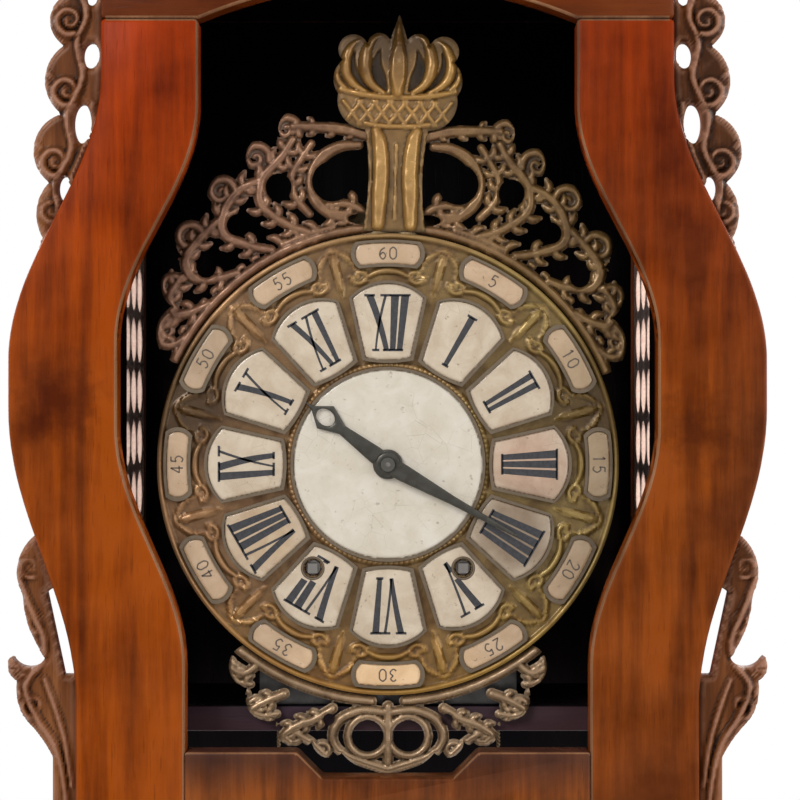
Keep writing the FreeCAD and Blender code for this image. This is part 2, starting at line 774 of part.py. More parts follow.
def crest():
    back, front = wing_depths()
    left = (-CREST_HALF, arch_back_height(CREST_HALF))
    right = (CREST_HALF, arch_back_height(CREST_HALF))
    pairs = [(lobe, notch or left) for lobe, notch in CREST_LOBES]
    edges = scallops(right, pairs)
    edges.append(arc(left, (0, arch_top + ARCH_BACK), right))
    body = slab(sheet(edges), back, front)
    for x, z, half_x, half_z in CREST_HOLES:
        body = body.cut(slab(oval(x, z, half_x, half_z), back - OVERRUN, front + OVERRUN))
    return body


# Case
def window_face(border):
    # The side window, drawn in depth and height, with an arched head; a border makes it smaller.
    low = WINDOW_LOW + border
    high = WINDOW_HIGH - border
    back = WINDOW_BACK + border
    front = WINDOW_FRONT - border
    half = (front - back) / 2
    spring = high - half / 2

    def spot(depth, z):
        return Vector(0, -depth, z)

    edges = [Part.LineSegment(spot(back, low), spot(front, low)).toShape(),
             Part.LineSegment(spot(front, low), spot(front, spring)).toShape(),
             Part.Arc(spot(front, spring), spot(back + half, high), spot(back, spring)).toShape(),
             Part.LineSegment(spot(back, spring), spot(back, low)).toShape()]
    return Part.Face(Part.Wire(edges))


def side_panel():
    panel = box(case_inner, case_half, BACK_THICK, case_front, -CASE_FOOT, case_top)
    hole = window_face(0.0).extrude(Vector(CASE_WALL + 2 * OVERRUN, 0, 0))
    hole = hole.copy()
    hole.translate(Vector(case_inner - OVERRUN, 0, 0))
    latch = Part.makeCylinder(LATCH_PIN + RUNNING_FIT, CASE_WALL + 2 * OVERRUN,
                              Vector(case_inner - OVERRUN, -latch_depth, LATCH_HEIGHT), Vector(1, 0, 0))
    return panel.cut(hole), latch


def side_fret():
    # A thin pierced panel that fills the window.
    plate = window_face(0.0).extrude(Vector(FRET_THICK, 0, 0))
    plate = plate.copy()
    plate.translate(Vector(case_inner + (CASE_WALL - FRET_THICK) / 2, 0, 0))
    span = WINDOW_FRONT - WINDOW_BACK - 2 * FRET_BORDER
    rise = WINDOW_HIGH - WINDOW_LOW - 2 * FRET_BORDER
    step_across = span / FRET_COLUMNS
    step_up = rise / FRET_ROWS
    inside = window_face(FRET_BORDER).extrude(Vector(case_half, 0, 0))
    cuts = []
    for row in range(FRET_ROWS):
        for column in range(FRET_COLUMNS):
            depth = WINDOW_BACK + FRET_BORDER + step_across * column + step_across / 2
            z = WINDOW_LOW + FRET_BORDER + step_up * row + step_up / 2
            half_across = (step_across - FRET_BAR) / 2
            half_up = (step_up - FRET_BAR) / 2
            corners = [Vector(0, -depth - half_across, z), Vector(0, -depth, z + half_up),
                       Vector(0, -depth + half_across, z), Vector(0, -depth, z - half_up)]
            out = half_across * FRET_ACROSS_SHARE
            up = half_up * FRET_UP_SHARE
            swell = [Vector(0, -depth - out, z + up), Vector(0, -depth + out, z + up),
                     Vector(0, -depth + out, z - up), Vector(0, -depth - out, z - up)]
            edges = [Part.Arc(corners[k], swell[k], corners[(k + 1) % 4]).toShape() for k in range(4)]
            cuts.append(Part.Face(Part.Wire(edges)).extrude(Vector(case_half, 0, 0)))
    return plate.cut(group(cuts).common(inside))


def fret_silk():
    # The silk that backs a fret on its inner side.
    cloth = window_face(0.0).extrude(Vector(SILK_THICK, 0, 0))
    cloth = cloth.copy()
    cloth.translate(Vector(case_inner + (CASE_WALL - FRET_THICK) / 2 - SILK_THICK, 0, 0))
    return cloth


def hanger_pieces():
    top = hanger_rise + HANGER_CROWN
    tail = hanger_rise - HANGER_TAIL
    half = HANGER_WIDTH / 2
    shoulder = top - half
    edges = [line((-half, tail), (half, tail)), line((half, tail), (half, shoulder)),
             arc((half, shoulder), (0, top), (-half, shoulder)), line((-half, shoulder), (-half, tail))]
    plate = slab(sheet(edges), 0.0, HANGER_THICK)
    plate = plate.cut(disc(HANGER_HOLE, (0, hanger_rise), -OVERRUN, HANGER_THICK + OVERRUN))
    screws = []
    for drop in SCREW_PLACES:
        spot = (0, hanger_rise - drop)
        plate = plate.cut(disc(SCREW_SHANK + RUNNING_FIT, spot, -OVERRUN, HANGER_THICK + OVERRUN))
        plate = plate.cut(disc(SCREW_HEAD + RUNNING_FIT, spot, -OVERRUN, SCREW_SET + SCREW_HEAD_DEEP))
        head = disc(SCREW_HEAD, spot, SCREW_SET, SCREW_SET + SCREW_HEAD_DEEP)
        shank = disc(SCREW_SHANK, spot, SCREW_SET + SCREW_HEAD_DEEP, SCREW_LENGTH)
        screws.append(fused([head, shank]))
    return plate, screws


def case_pieces():
    back = box(-case_half, case_half, 0.0, BACK_THICK, -CASE_FOOT - BACK_DROP, case_top)
    recess = box(-HANGER_WIDTH / 2, HANGER_WIDTH / 2, -OVERRUN, HANGER_THICK,
                 hanger_rise - HANGER_TAIL, case_top + ROOF_THICK + OVERRUN)
    back = back.cut(recess)
    for drop in SCREW_PLACES:
        back = back.cut(disc(SCREW_SHANK + RUNNING_FIT, (0, hanger_rise - drop), 0.0, SCREW_LENGTH))
    save(back, "back_board")
    panel, latch_hole = side_panel()
    save(mirrored(panel), "side_panel_left")
    save(panel.cut(latch_hole), "side_panel_right")
    save(group([side_fret(), mirrored(side_fret())]), "side_frets")
    save(group([fret_silk(), mirrored(fret_silk())]), "fret_silk")
    roof = box(-case_half, case_half, 0.0, case_front, case_top, case_top + ROOF_THICK)
    save(roof.cut(recess), "roof_board")
    seat = box(-case_inner, case_inner, SEAT_BACK, SEAT_FRONT, -SEAT_DROP - SEAT_THICK, -SEAT_DROP)
    for side in (-1, 1):
        seat = seat.cut(box(side * line_x - SLOT_HALF, side * line_x + SLOT_HALF, barrel_depth_back,
                            barrel_depth_front, -SEAT_DROP - SEAT_THICK - OVERRUN, -SEAT_DROP + OVERRUN))
    save(seat, "seat_board")
    plate, screws = hanger_pieces()
    save(group([plate] + screws), "wall_hanger")


def door_pieces():
    right = stile()
    save(right, "right_stile")
    save(mirrored(right), "left_stile")
    save(arch_rail(), "arch_rail")
    save(bottom_rail(), "bottom_rail")
    save(group([upper_wing(), mirrored(upper_wing())]), "upper_wings")
    save(group([lower_wing(), mirrored(lower_wing())]), "lower_wings")
    save(crest(), "crest")


hinge_x = -(case_half + KNUCKLE_RADIUS + KNUCKLE_ROOM)
hinge_depth = door_back - KNUCKLE_RADIUS - KNUCKLE_ROOM


def hinge_pieces():
    case_side = []
    door_side = []
    third = HINGE_LENGTH / 3
    for height in HINGE_HEIGHTS:
        low = height - HINGE_LENGTH / 2
        high = height + HINGE_LENGTH / 2
        bore = post(HINGE_PIN + RUNNING_FIT, hinge_x, hinge_depth, low - OVERRUN, high + OVERRUN)
        room = box(hinge_x - KNUCKLE_RADIUS - OVERRUN, -case_half - LEAF_THICK,
                   hinge_depth - KNUCKLE_RADIUS - OVERRUN, door_back, low + third - KNUCKLE_GAP,
                   high - third + KNUCKLE_GAP)
        leaf = box(-case_half - LEAF_THICK, -case_half, hinge_depth - LEAF_WIDE, hinge_depth, low, high)
        knuckles = post(KNUCKLE_RADIUS, hinge_x, hinge_depth, low, high)
        gap = post(KNUCKLE_RADIUS + KNUCKLE_ROOM, hinge_x, hinge_depth, low + third - KNUCKLE_GAP,
                   high - third + KNUCKLE_GAP)
        case_side.append(fused([leaf, knuckles]).cut(bore).cut(room).cut(gap))
        case_side.append(post(HINGE_PIN, hinge_x, hinge_depth, low, high))
        wing = box(hinge_x - LEAF_WIDE, hinge_x, door_back - LEAF_THICK, door_back, low, high)
        clear = box(hinge_x - KNUCKLE_RADIUS - KNUCKLE_ROOM, hinge_x + OVERRUN,
                    door_back - LEAF_THICK - OVERRUN, door_back + OVERRUN, low - OVERRUN, high + OVERRUN)
        middle = post(KNUCKLE_RADIUS, hinge_x, hinge_depth, low + third, high - third)
        link = box(hinge_x - KNUCKLE_RADIUS - KNUCKLE_ROOM, hinge_x, door_back - LEAF_THICK, door_back,
                   low + third, high - third)
        web = box(hinge_x - KNUCKLE_RADIUS, hinge_x - HINGE_PIN, hinge_depth, door_back, low + third,
                  high - third)
        door_side.append(fused([wing.cut(clear), link, middle, web]).cut(bore))
    save(group(case_side), "case_hinge_leaves")
    save(group(door_side), "door_hinge_leaves")


def latch_pieces():
    inner = case_half + LATCH_ROOM
    outer = inner + LATCH_THICK
    half = LATCH_WIDE / 2
    low = LATCH_HEIGHT - LATCH_REACH - LATCH_TAIL
    slot = LATCH_PIN + LATCH_ROOM
    arm = Part.makeBox(LATCH_THICK, LATCH_WIDE, LATCH_HEIGHT - low, Vector(inner, -latch_depth - half, low))
    head = Part.makeCylinder(half, LATCH_THICK, Vector(inner, -latch_depth, LATCH_HEIGHT), Vector(1, 0, 0))
    notch = Part.makeBox(LATCH_THICK + 2 * OVERRUN, half + slot + OVERRUN, 2 * slot,
                         Vector(inner - OVERRUN, -latch_depth - half - OVERRUN,
                                LATCH_HEIGHT - LATCH_REACH - slot))
    pivot = Part.makeCylinder(LATCH_PIN, outer - case_inner - LATCH_ROOM,
                              Vector(case_inner + LATCH_ROOM, -latch_depth, LATCH_HEIGHT), Vector(1, 0, 0))
    save(fused([arm, head, pivot]).cut(notch), "door_latch")
    catch = latch_depth + LATCH_REACH
    plate_inner = outer + LATCH_ROOM
    plate = box(plate_inner, plate_inner + STAPLE_THICK, catch - STAPLE_HALF, door_back,
                LATCH_HEIGHT - STAPLE_HALF, LATCH_HEIGHT + STAPLE_HALF)
    pin = Part.makeCylinder(LATCH_PIN, plate_inner + STAPLE_THICK - inner,
                            Vector(inner, -catch, LATCH_HEIGHT), Vector(1, 0, 0))
    save(fused([plate, pin]), "latch_staple")


# Dial
def hour_face():
    # One hour cartouche, drawn at twelve o'clock.
    head = HOUR_HEAD_WIDTH / 2
    foot = HOUR_FOOT_WIDTH / 2
    shoulder = HOUR_OUTER - HOUR_HEAD_DROP
    edges = [line((-foot, HOUR_INNER + HOUR_FOOT_LIFT), (-head, shoulder)),
             arc((-head, shoulder), (0, HOUR_OUTER), (head, shoulder)),
             line((head, shoulder), (foot, HOUR_INNER + HOUR_FOOT_LIFT)),
             arc((foot, HOUR_INNER + HOUR_FOOT_LIFT), (0, HOUR_INNER), (-foot, HOUR_INNER + HOUR_FOOT_LIFT))]
    return sheet(edges)


def minute_face(border=0.0):
    # One minute cartouche at twelve o'clock: a curved bar; a border makes it larger all round.
    inner = minute_inner - border
    outer = minute_outer + border
    half = MINUTE_HALF_ANGLE + math.degrees(border / minute_outer)
    left_in = turned(inner, 90 + half)
    left_out = turned(outer, 90 + half)
    right_in = turned(inner, 90 - half)
    right_out = turned(outer, 90 - half)
    bulge = math.degrees((outer - inner) / 2 * END_ROUND_SHARE / outer)
    left_mid = turned((inner + outer) / 2, 90 + half + bulge)
    right_mid = turned((inner + outer) / 2, 90 - half - bulge)
    edges = [arc(left_out, (0, outer), right_out), arc(right_out, right_mid, right_in),
             arc(right_in, (0, inner), left_in), arc(left_in, left_mid, left_out)]
    return sheet(edges)


def hour_rim_face():
    head = HOUR_HEAD_WIDTH / 2 + RIM_WIDTH
    foot = HOUR_FOOT_WIDTH / 2 + RIM_WIDTH
    inner = HOUR_INNER - RIM_WIDTH
    shoulder = HOUR_OUTER - HOUR_HEAD_DROP
    edges = [line((-foot, inner + HOUR_FOOT_LIFT), (-head, shoulder)),
             arc((-head, shoulder), (0, HOUR_OUTER + RIM_WIDTH), (head, shoulder)),
             line((head, shoulder), (foot, inner + HOUR_FOOT_LIFT)),
             arc((foot, inner + HOUR_FOOT_LIFT), (0, inner), (-foot, inner + HOUR_FOOT_LIFT))]
    return sheet(edges)


def dial_pieces():
    winding = [disc(WINDING_HOLE, spot, dial_back - OVERRUN, enamel_front + OVERRUN)
               for spot in (GREAT, STRIKE_GREAT)]
    middle = disc(DIAL_HOLE, CENTRE, dial_back - OVERRUN, enamel_front + OVERRUN)
    plate = disc(dial_radius, CENTRE, dial_back, dial_front).cut(group(winding + [middle]))
    bead = ring(dial_radius, dial_radius - EDGE_BEAD, CENTRE, dial_front, enamel_front - RIM_PROUD)
    save(fused([plate, bead]), "dial_plate")
    rim_front = enamel_front + RIM_PROUD
    hour_rim = slab(hour_rim_face().cut(hour_face()), dial_front, rim_front)
    minute_rim = slab(minute_face(RIM_WIDTH).cut(minute_face()), dial_front, rim_front - RIM_PROUD)
    rims = [ring(DISC_RADIUS + RIM_WIDTH, DISC_RADIUS, CENTRE, dial_front, rim_front)]
    hours = []
    minutes = []
    hour_one = slab(hour_face(), dial_front, enamel_front)
    minute_one = slab(minute_face(), dial_front, enamel_front - RIM_PROUD)
    for hour in range(12):
        turn = hour * 30.0
        rims.append(spun(hour_rim, CENTRE, turn))
        rims.append(spun(minute_rim, CENTRE, turn))
        hours.append(spun(hour_one, CENTRE, turn).cut(group(winding)))
        minutes.append(spun(minute_one, CENTRE, turn))
    save(group(rims), "cartouche_rims")
    save(group(hours), "hour_cartouches")
    save(group(minutes), "minute_cartouches")
    save(disc(DISC_RADIUS, CENTRE, dial_front, enamel_front).cut(middle), "centre_disc")


# Cast frets round the dial in shares of its radius: reach from the middle line, then height
FRONTON_SHARES = [((0.48, 1.504), (0.496, 1.392)), ((0.624, 1.376), (0.632, 1.256)),
                  ((0.784, 1.216), (0.808, 1.088)), ((0.936, 1.016), (0.912, 0.872)),
                  ((1.0, 0.776), (0.952, 0.656)), ((1.016, 0.56), None)]
FRONTON_HOLE_SHARES = [(0.272, 1.216, 0.088, 0.088), (0.504, 1.184, 0.056, 0.06),
                       (0.672, 1.016, 0.052, 0.048), (0.808, 0.832, 0.044, 0.048),
                       (0.144, 1.056, 0.056, 0.024)]
FRONTON_TOP_SHARE = 1.472
FRONTON_SHOULDER_SHARE = 0.352
FRONTON_ANGLE = 24.0
LOWER_FRET_SHARES = [((0.688, -0.872), (0.608, -0.968)), ((0.5904, -1.08), (0.48, -1.104)),
                     ((0.4424, -1.2128), (0.328, -1.2)), ((0.28, -1.2656), (0.2, -1.248))]
LOWER_FRET_HOLE_SHARES = [(0.088, -1.176, 0.068, 0.068), (0.384, -1.048, 0.052, 0.024),
                          (0.256, -1.104, 0.024, 0.024)]
LOWER_FRET_DROP_SHARE = 1.344
LOWER_FRET_ANGLE = 51.5
CROWN_SHARES = [((0.25, 1.52), (0.256, 1.592)), ((0.278, 1.656), (0.24, 1.736)),
                ((0.198, 1.848), (0.134, 1.804)), ((0.092, 1.856), (0.038, 1.824))]
CROWN_NECK_SHARE = 1.44
# The fronton and the crown on it are pinned a little clockwise of upright
FRONTON_LEAN = 1.5
STEM_HALF_SHARE = 0.136
STEM_WAIST_SHARE = 0.116


def scaled(shares):
    return tuple(share * dial_radius for share in shares)


def scaled_pairs(pairs):
    return [(scaled(lobe), notch and scaled(notch)) for lobe, notch in pairs]


def pierced(body, holes, back, front):
    for hole in holes:
        x, z, half_x, half_z = scaled(hole)
        for side in (-1, 1):
            body = body.cut(slab(oval(side * x, z, half_x, half_z), back - OVERRUN, front + OVERRUN))
    return body


def other_half(start, pairs):
    # The mirror image of the arcs that scallops draws, from the last notch back to the start.
    edges = []
    spots = [start] + [notch for lobe, notch in pairs]
    for index in range(len(pairs) - 1, -1, -1):
        lobe = pairs[index][0]
        after = spots[index]
        before = spots[index + 1]
        edges.append(arc((-before[0], before[1]), (-lobe[0], lobe[1]), (-after[0], after[1])))
    return edges


def fronton():
    back = dial_back
    front = dial_back + FRONTON_THICK
    end = turned(dial_radius, FRONTON_ANGLE)
    start = scaled((FRONTON_SHOULDER_SHARE, FRONTON_TOP_SHARE))
    right = [(lobe, notch or end) for lobe, notch in scaled_pairs(FRONTON_SHARES)]
    edges = scallops(start, right)
    edges.append(arc(end, (0, dial_radius), (-end[0], end[1])))
    edges += other_half(start, right)
    edges.append(line((-start[0], start[1]), start))
    body = slab(sheet(edges), back, front)
    return pierced(body, FRONTON_HOLE_SHARES, back, front)


def lower_fret():
    back = dial_back
    front = dial_back + FRONTON_THICK
    start = turned(dial_radius, -LOWER_FRET_ANGLE)
    right = scaled_pairs(LOWER_FRET_SHARES)
    edges = scallops(start, right)
    last = right[-1][1]
    edges.append(arc(last, (0, -dial_radius * LOWER_FRET_DROP_SHARE), (-last[0], last[1])))
    edges += other_half(start, right)
    edges.append(arc((-start[0], start[1]), (0, -dial_radius), start))
    body = slab(sheet(edges), back, front)
    return pierced(body, LOWER_FRET_HOLE_SHARES, back, front)


def crown():
    back = dial_back + FRONTON_THICK
    front = back + CROWN_THICK
    low = dial_radius + SOFT_GAP
    start = scaled((STEM_HALF_SHARE, CROWN_NECK_SHARE))
    right = scaled_pairs(CROWN_SHARES)
    edges = scallops(start, right)
    last = right[-1][1]
    spike = dial_radius * SPIKE_SHARE
    edges += [line(last, (0, spike)), line((0, spike), (-last[0], last[1]))]
    edges += other_half(start, right)
    middle = (low + start[1]) / 2
    waist = dial_radius * STEM_WAIST_SHARE
    edges += [arc((-start[0], start[1]), (-waist, middle), (-start[0], low)),
              line((-start[0], low), (start[0], low)),
              arc((start[0], low), (waist, middle), start)]
    return slab(sheet(edges), back, front)


# Hands, drawn at twelve o'clock
def hand_pieces():
    pipe = CENTRE_ARBOR + RUNNING_FIT + HOUR_PIPE_WALL
    back = hour_hand_back
    front = back + HAND_THICK
    neck = HOUR_HAND * HOUR_NECK_SHARE
    wide = HOUR_HAND * HOUR_WIDE_SHARE
    narrow = HOUR_HAND * HOUR_TIP_SHARE
    half = HOUR_SHANK / 2
    right = [(HOUR_ROOT, 0.0), (HOUR_ROOT, HOUR_HAND * HOUR_ROOT_SHARE), (half, neck),
             (HOUR_HEAD_HALF, wide), (half / 2, narrow), (0.0, HOUR_HAND)]
    left = [(-x, z) for x, z in reversed(right[:-1])]
    blade = slab(polygon(right + left), back, front)
    hole = oval(0, wide, HOUR_HEAD_HALF * HOUR_HOLE_ACROSS_SHARE, HOUR_HEAD_HALF * HOUR_HOLE_UP_SHARE)
    blade = blade.cut(slab(hole, back - OVERRUN, front + OVERRUN))
    hand = fused([blade, disc(HUB_HOUR, CENTRE, back, front)])
    hand = hand.cut(disc(pipe + HAND_FIT, CENTRE, back - OVERRUN, front + OVERRUN))
    save(spun(hand, CENTRE, HOUR_HAND_ANGLE), "hour_hand")
    back = minute_hand_back
    front = back + HAND_THICK
    half = MINUTE_SHANK / 2
    right = [(MINUTE_ROOT, 0.0), (MINUTE_ROOT, MINUTE_HAND * MINUTE_ROOT_SHARE),
             (half, MINUTE_HAND * MINUTE_NARROW_SHARE), (MINUTE_TIP / 2, MINUTE_HAND)]
    left = [(-x, z) for x, z in reversed(right)]
    blade = slab(polygon(right + left), back, front)
    hand = fused([blade, disc(HUB_MINUTE, CENTRE, back, front)])
    hand = hand.cut(disc(CENTRE_ARBOR + HAND_FIT, CENTRE, back - OVERRUN, front + OVERRUN))
    save(spun(hand, CENTRE, MINUTE_HAND_ANGLE), "minute_hand")
    collet = ring(COLLET_RADIUS, CENTRE_ARBOR / 2 + HAND_FIT, CENTRE, collet_back,
                  collet_back + COLLET_THICK)
    save(collet, "hand_collet")


# Movement
def plates():
    pivots = [SECOND, GREAT, STRIKE_GREAT, THIRD, ESCAPE, PIN, WARNING, FLY, HAMMER_PIVOT]
    back = box(-PLATE_HALF, PLATE_HALF, BACK_PLATE_DEPTH, back_plate_front, -SEAT_DROP, PLATE_TOP)
    front = box(-PLATE_HALF, PLATE_HALF, front_plate_back, front_plate_front, -SEAT_DROP, PLATE_TOP)
    holes = [disc(PIVOT + RUNNING_FIT, spot, BACK_PLATE_DEPTH - OVERRUN, front_plate_front + OVERRUN)
             for spot in pivots]
    back_holes = holes + [disc(PIVOT + RUNNING_FIT, CENTRE, BACK_PLATE_DEPTH - OVERRUN,
                               back_plate_front + OVERRUN),
                          disc(ARBOR + RUNNING_FIT, ANCHOR, BACK_PLATE_DEPTH - OVERRUN,
                               back_plate_front + OVERRUN)]
    front_holes = holes + [disc(PIVOT + RUNNING_FIT, ANCHOR, front_plate_back - OVERRUN,
                                front_plate_front + OVERRUN),
                           disc(CENTRE_ARBOR + RUNNING_FIT, CENTRE, front_plate_back - OVERRUN,
                                front_plate_front + OVERRUN)]
    for spot in (GREAT, STRIKE_GREAT):
        front_holes.append(disc(WINDING_ARBOR + RUNNING_FIT, spot, front_plate_back - OVERRUN,
                                front_plate_front + OVERRUN))
    save(back.cut(fused(back_holes)), "back_plate")
    front = front.cut(fused(front_holes))
    stud = disc(ARBOR, MINUTE, front_plate_front, dial_back - MOTION_SET)
    save(fused([front, stud]), "front_plate")
    pillars = []
    for x, z in (UPPER_PILLAR, LOWER_PILLAR):
        for side in (-1, 1):
            pillars.append(disc(PILLAR_RADIUS, (side * x, z), back_plate_front, front_plate_back))
    feet = []
    for quarter in range(4):
        spot = turned(FOOT_CIRCLE, 45 + 90 * quarter)
        feet.append(disc(FOOT_RADIUS, spot, front_plate_front, dial_back))
    save(group(pillars + feet), "pillars_and_feet")


def going_train():
    save(barrel(GREAT), "going_barrel")
    save(great_wheel(GREAT, SECOND), "going_great_wheel")
    shaft = arbor(SECOND)
    leaves = pinion(SECOND, GREAT_LEAVES, GREAT_MODULE, direction(SECOND, GREAT), great_middle)
    body = wheel(SECOND, SECOND_TEETH, SECOND_MODULE, direction(SECOND, CENTRE), second_middle, WHEEL_THICK)
    save(fused([shaft, leaves, body]), "second_wheel")
    shaft = fused([disc(ARBOR, CENTRE, back_plate_front + END_SHAKE, front_plate_back),
                   disc(PIVOT, CENTRE, BACK_PLATE_DEPTH, front_plate_back),
                   disc(CENTRE_ARBOR, CENTRE, front_plate_back - END_SHAKE, collet_back),
                   disc(CENTRE_ARBOR / 2, CENTRE, collet_back, collet_back + COLLET_THICK)])
    leaves = pinion(CENTRE, SECOND_LEAVES, SECOND_MODULE, direction(CENTRE, SECOND), second_middle)
    body = wheel(CENTRE, CENTRE_TEETH, CENTRE_MODULE, direction(CENTRE, THIRD), centre_middle, WHEEL_THICK)
    cannon = toothed(CENTRE, CANNON_TEETH, MINUTE_MODULE, direction(CENTRE, MINUTE), LEAF_SHARES)
    cannon_back = front_plate_front + MOTION_SET
    cannon = slab(cannon, cannon_back, cannon_back + CANNON_THICK)
    save(fused([shaft, leaves, body, cannon]), "centre_wheel")
    shaft = arbor(THIRD)
    leaves = pinion(THIRD, CENTRE_LEAVES, CENTRE_MODULE, direction(THIRD, CENTRE), centre_middle)
    body = wheel(THIRD, THIRD_TEETH, THIRD_MODULE, direction(THIRD, ESCAPE), third_middle, WHEEL_THICK)
    save(fused([shaft, leaves, body]), "third_wheel")
    shaft = arbor(ESCAPE)
    leaves = pinion(ESCAPE, THIRD_LEAVES, THIRD_MODULE, direction(ESCAPE, THIRD), third_middle)
    save(fused([shaft, leaves, escape_wheel()]), "escape_wheel")


def escape_wheel():
    # Teeth lean forward; a tip stands a quarter of a pitch from each pallet.
    pitch = 360.0 / ESCAPE_TEETH
    root = ESCAPE_RADIUS - ESCAPE_DEEP
    first = 45 + pitch / 4
    points = []
    for tooth in range(ESCAPE_TEETH):
        tip = first + tooth * pitch
        points.append(beside(ESCAPE, root, tip - pitch * ESCAPE_FRONT_SHARE))
        points.append(beside(ESCAPE, ESCAPE_RADIUS, tip - pitch * ESCAPE_TIP_SHARE))
        points.append(beside(ESCAPE, ESCAPE_RADIUS, tip + pitch * ESCAPE_TIP_SHARE))
        points.append(beside(ESCAPE, root, tip + pitch * ESCAPE_HEEL_SHARE))
    low = escape_middle - WHEEL_THICK / 2
    high = escape_middle + WHEEL_THICK / 2
    blank = slab(polygon(points), low, high)
    return blank.cut(crossings(ESCAPE, HUB_RADIUS, root - WHEEL_THICK, WHEEL_THICK, low, high))


def motion_work():
    back = front_plate_front + MOTION_SET
    wheel_face = toothed(MINUTE, MINUTE_TEETH, MINUTE_MODULE,
                         direction(MINUTE, CENTRE) + 180.0 / MINUTE_TEETH, TOOTH_SHARES)
    hour_back = front_plate_front + HOUR_WHEEL_SET
    hour_front = hour_back + MOTION_THICK
    leaves = toothed(MINUTE, MINUTE_LEAVES, hour_module, direction(MINUTE, CENTRE), LEAF_SHARES)
    bore = disc(ARBOR + RUNNING_FIT, MINUTE, front_plate_front, dial_back)
    body = fused([slab(wheel_face, back, back + MOTION_THICK), slab(leaves, back, hour_front + MOTION_SET)])
    save(body.cut(bore), "minute_wheel")
    outline = toothed(CENTRE, HOUR_TEETH, hour_module, direction(CENTRE, MINUTE) + 180.0 / HOUR_TEETH,
                      TOOTH_SHARES)
    inner = CENTRE_ARBOR + RUNNING_FIT
    pipe = disc(inner + HOUR_PIPE_WALL, CENTRE, hour_back, hour_hand_back + HAND_THICK)
    body = fused([slab(outline, hour_back, hour_front), pipe])
    save(body.cut(disc(inner, CENTRE, hour_back - OVERRUN, collet_back)), "hour_wheel")


def anchor_pieces():
    low = escape_middle - PALLET_THICK / 2
    high = escape_middle + PALLET_THICK / 2
    solids = [disc(ANCHOR_HUB, ANCHOR, low, high)]
    for angle in (45, 135):
        tip = ESCAPE_RADIUS + PALLET_CLEARANCE
        base = tip + PALLET_REACH
        narrow = math.degrees(PALLET_TIP_HALF / tip)
        broad = math.degrees(PALLET_BASE_HALF / base)
        corners = [beside(ESCAPE, tip, angle - narrow), beside(ESCAPE, base, angle - broad),
                   beside(ESCAPE, base, angle + broad), beside(ESCAPE, tip, angle + narrow)]
        solids.append(slab(polygon(corners), low, high))
        solids.append(bar(ANCHOR, beside(ESCAPE, base, angle), ANCHOR_ARM, low, high))
    solids.append(disc(ARBOR, ANCHOR, CRUTCH_DEPTH - CRUTCH_THICK / 2, front_plate_back - END_SHAKE))
    solids.append(disc(PIVOT, ANCHOR, front_plate_back - END_SHAKE, front_plate_front))
    save(fused(solids), "anchor")
    back = CRUTCH_DEPTH - CRUTCH_THICK / 2
    front = CRUTCH_DEPTH + CRUTCH_THICK / 2
    foot = (0.0, ANCHOR[1] - CRUTCH_DROP)
    prong_x = ROD_WIDTH / 2 + CRUTCH_PRONG + SOFT_GAP
    solids = [disc(CRUTCH_COLLAR, ANCHOR, back, front), bar(ANCHOR, foot, CRUTCH_WIDTH, back, front),
              bar((-prong_x, foot[1]), (prong_x, foot[1]), CRUTCH_WIDTH, back, front)]
    for side in (-1, 1):
        solids.append(disc(CRUTCH_PRONG, (side * prong_x, foot[1]), PENDULUM_DEPTH - ROD_THICK * 2, front))
    body = fused(solids)
    save(body.cut(disc(ARBOR + HAND_FIT, ANCHOR, back - OVERRUN, front + OVERRUN)), "crutch")


def cock_pieces():
    top = ANCHOR[1] + COCK_RISE
    low = ANCHOR[1] - COCK_DROP
    bridge = box(-COCK_HALF, COCK_HALF, COCK_BACK, BACK_PLATE_DEPTH, top - COCK_SHEET, top)
    solids = [bridge]
    for side in (-1, 1):
        cheek_in = side * (COCK_HALF - COCK_SHEET)
        cheek_out = side * COCK_HALF
        foot_out = side * (COCK_HALF + COCK_FOOT)
        solids.append(box(min(cheek_in, cheek_out), max(cheek_in, cheek_out), COCK_BACK, BACK_PLATE_DEPTH,
                          low, top))
        solids.append(box(min(cheek_out, foot_out), max(cheek_out, foot_out), BACK_PLATE_DEPTH - COCK_SHEET,
                          BACK_PLATE_DEPTH, low, top))
    block_low = top - COCK_SHEET - COCK_BLOCK
    solids.append(box(-CHOP_HALF, CHOP_HALF, PENDULUM_DEPTH - SPRING_WIDE / 2 - COCK_SHEET / 2,
                      PENDULUM_DEPTH + SPRING_WIDE / 2 + COCK_SHEET / 2, block_low, top))
    half = SPRING_THICK / 2
    slit = box(-half - HAND_FIT, half + HAND_FIT, PENDULUM_DEPTH - SPRING_WIDE / 2 - HAND_FIT,
               PENDULUM_DEPTH + SPRING_WIDE / 2 + HAND_FIT, block_low - OVERRUN, top + OVERRUN)
    save(fused(solids).cut(slit), "back_cock")
    save(box(-half, half, PENDULUM_DEPTH - SPRING_WIDE / 2, PENDULUM_DEPTH + SPRING_WIDE / 2,
             ANCHOR[1] - SPRING_DIP, top), "suspension_spring")


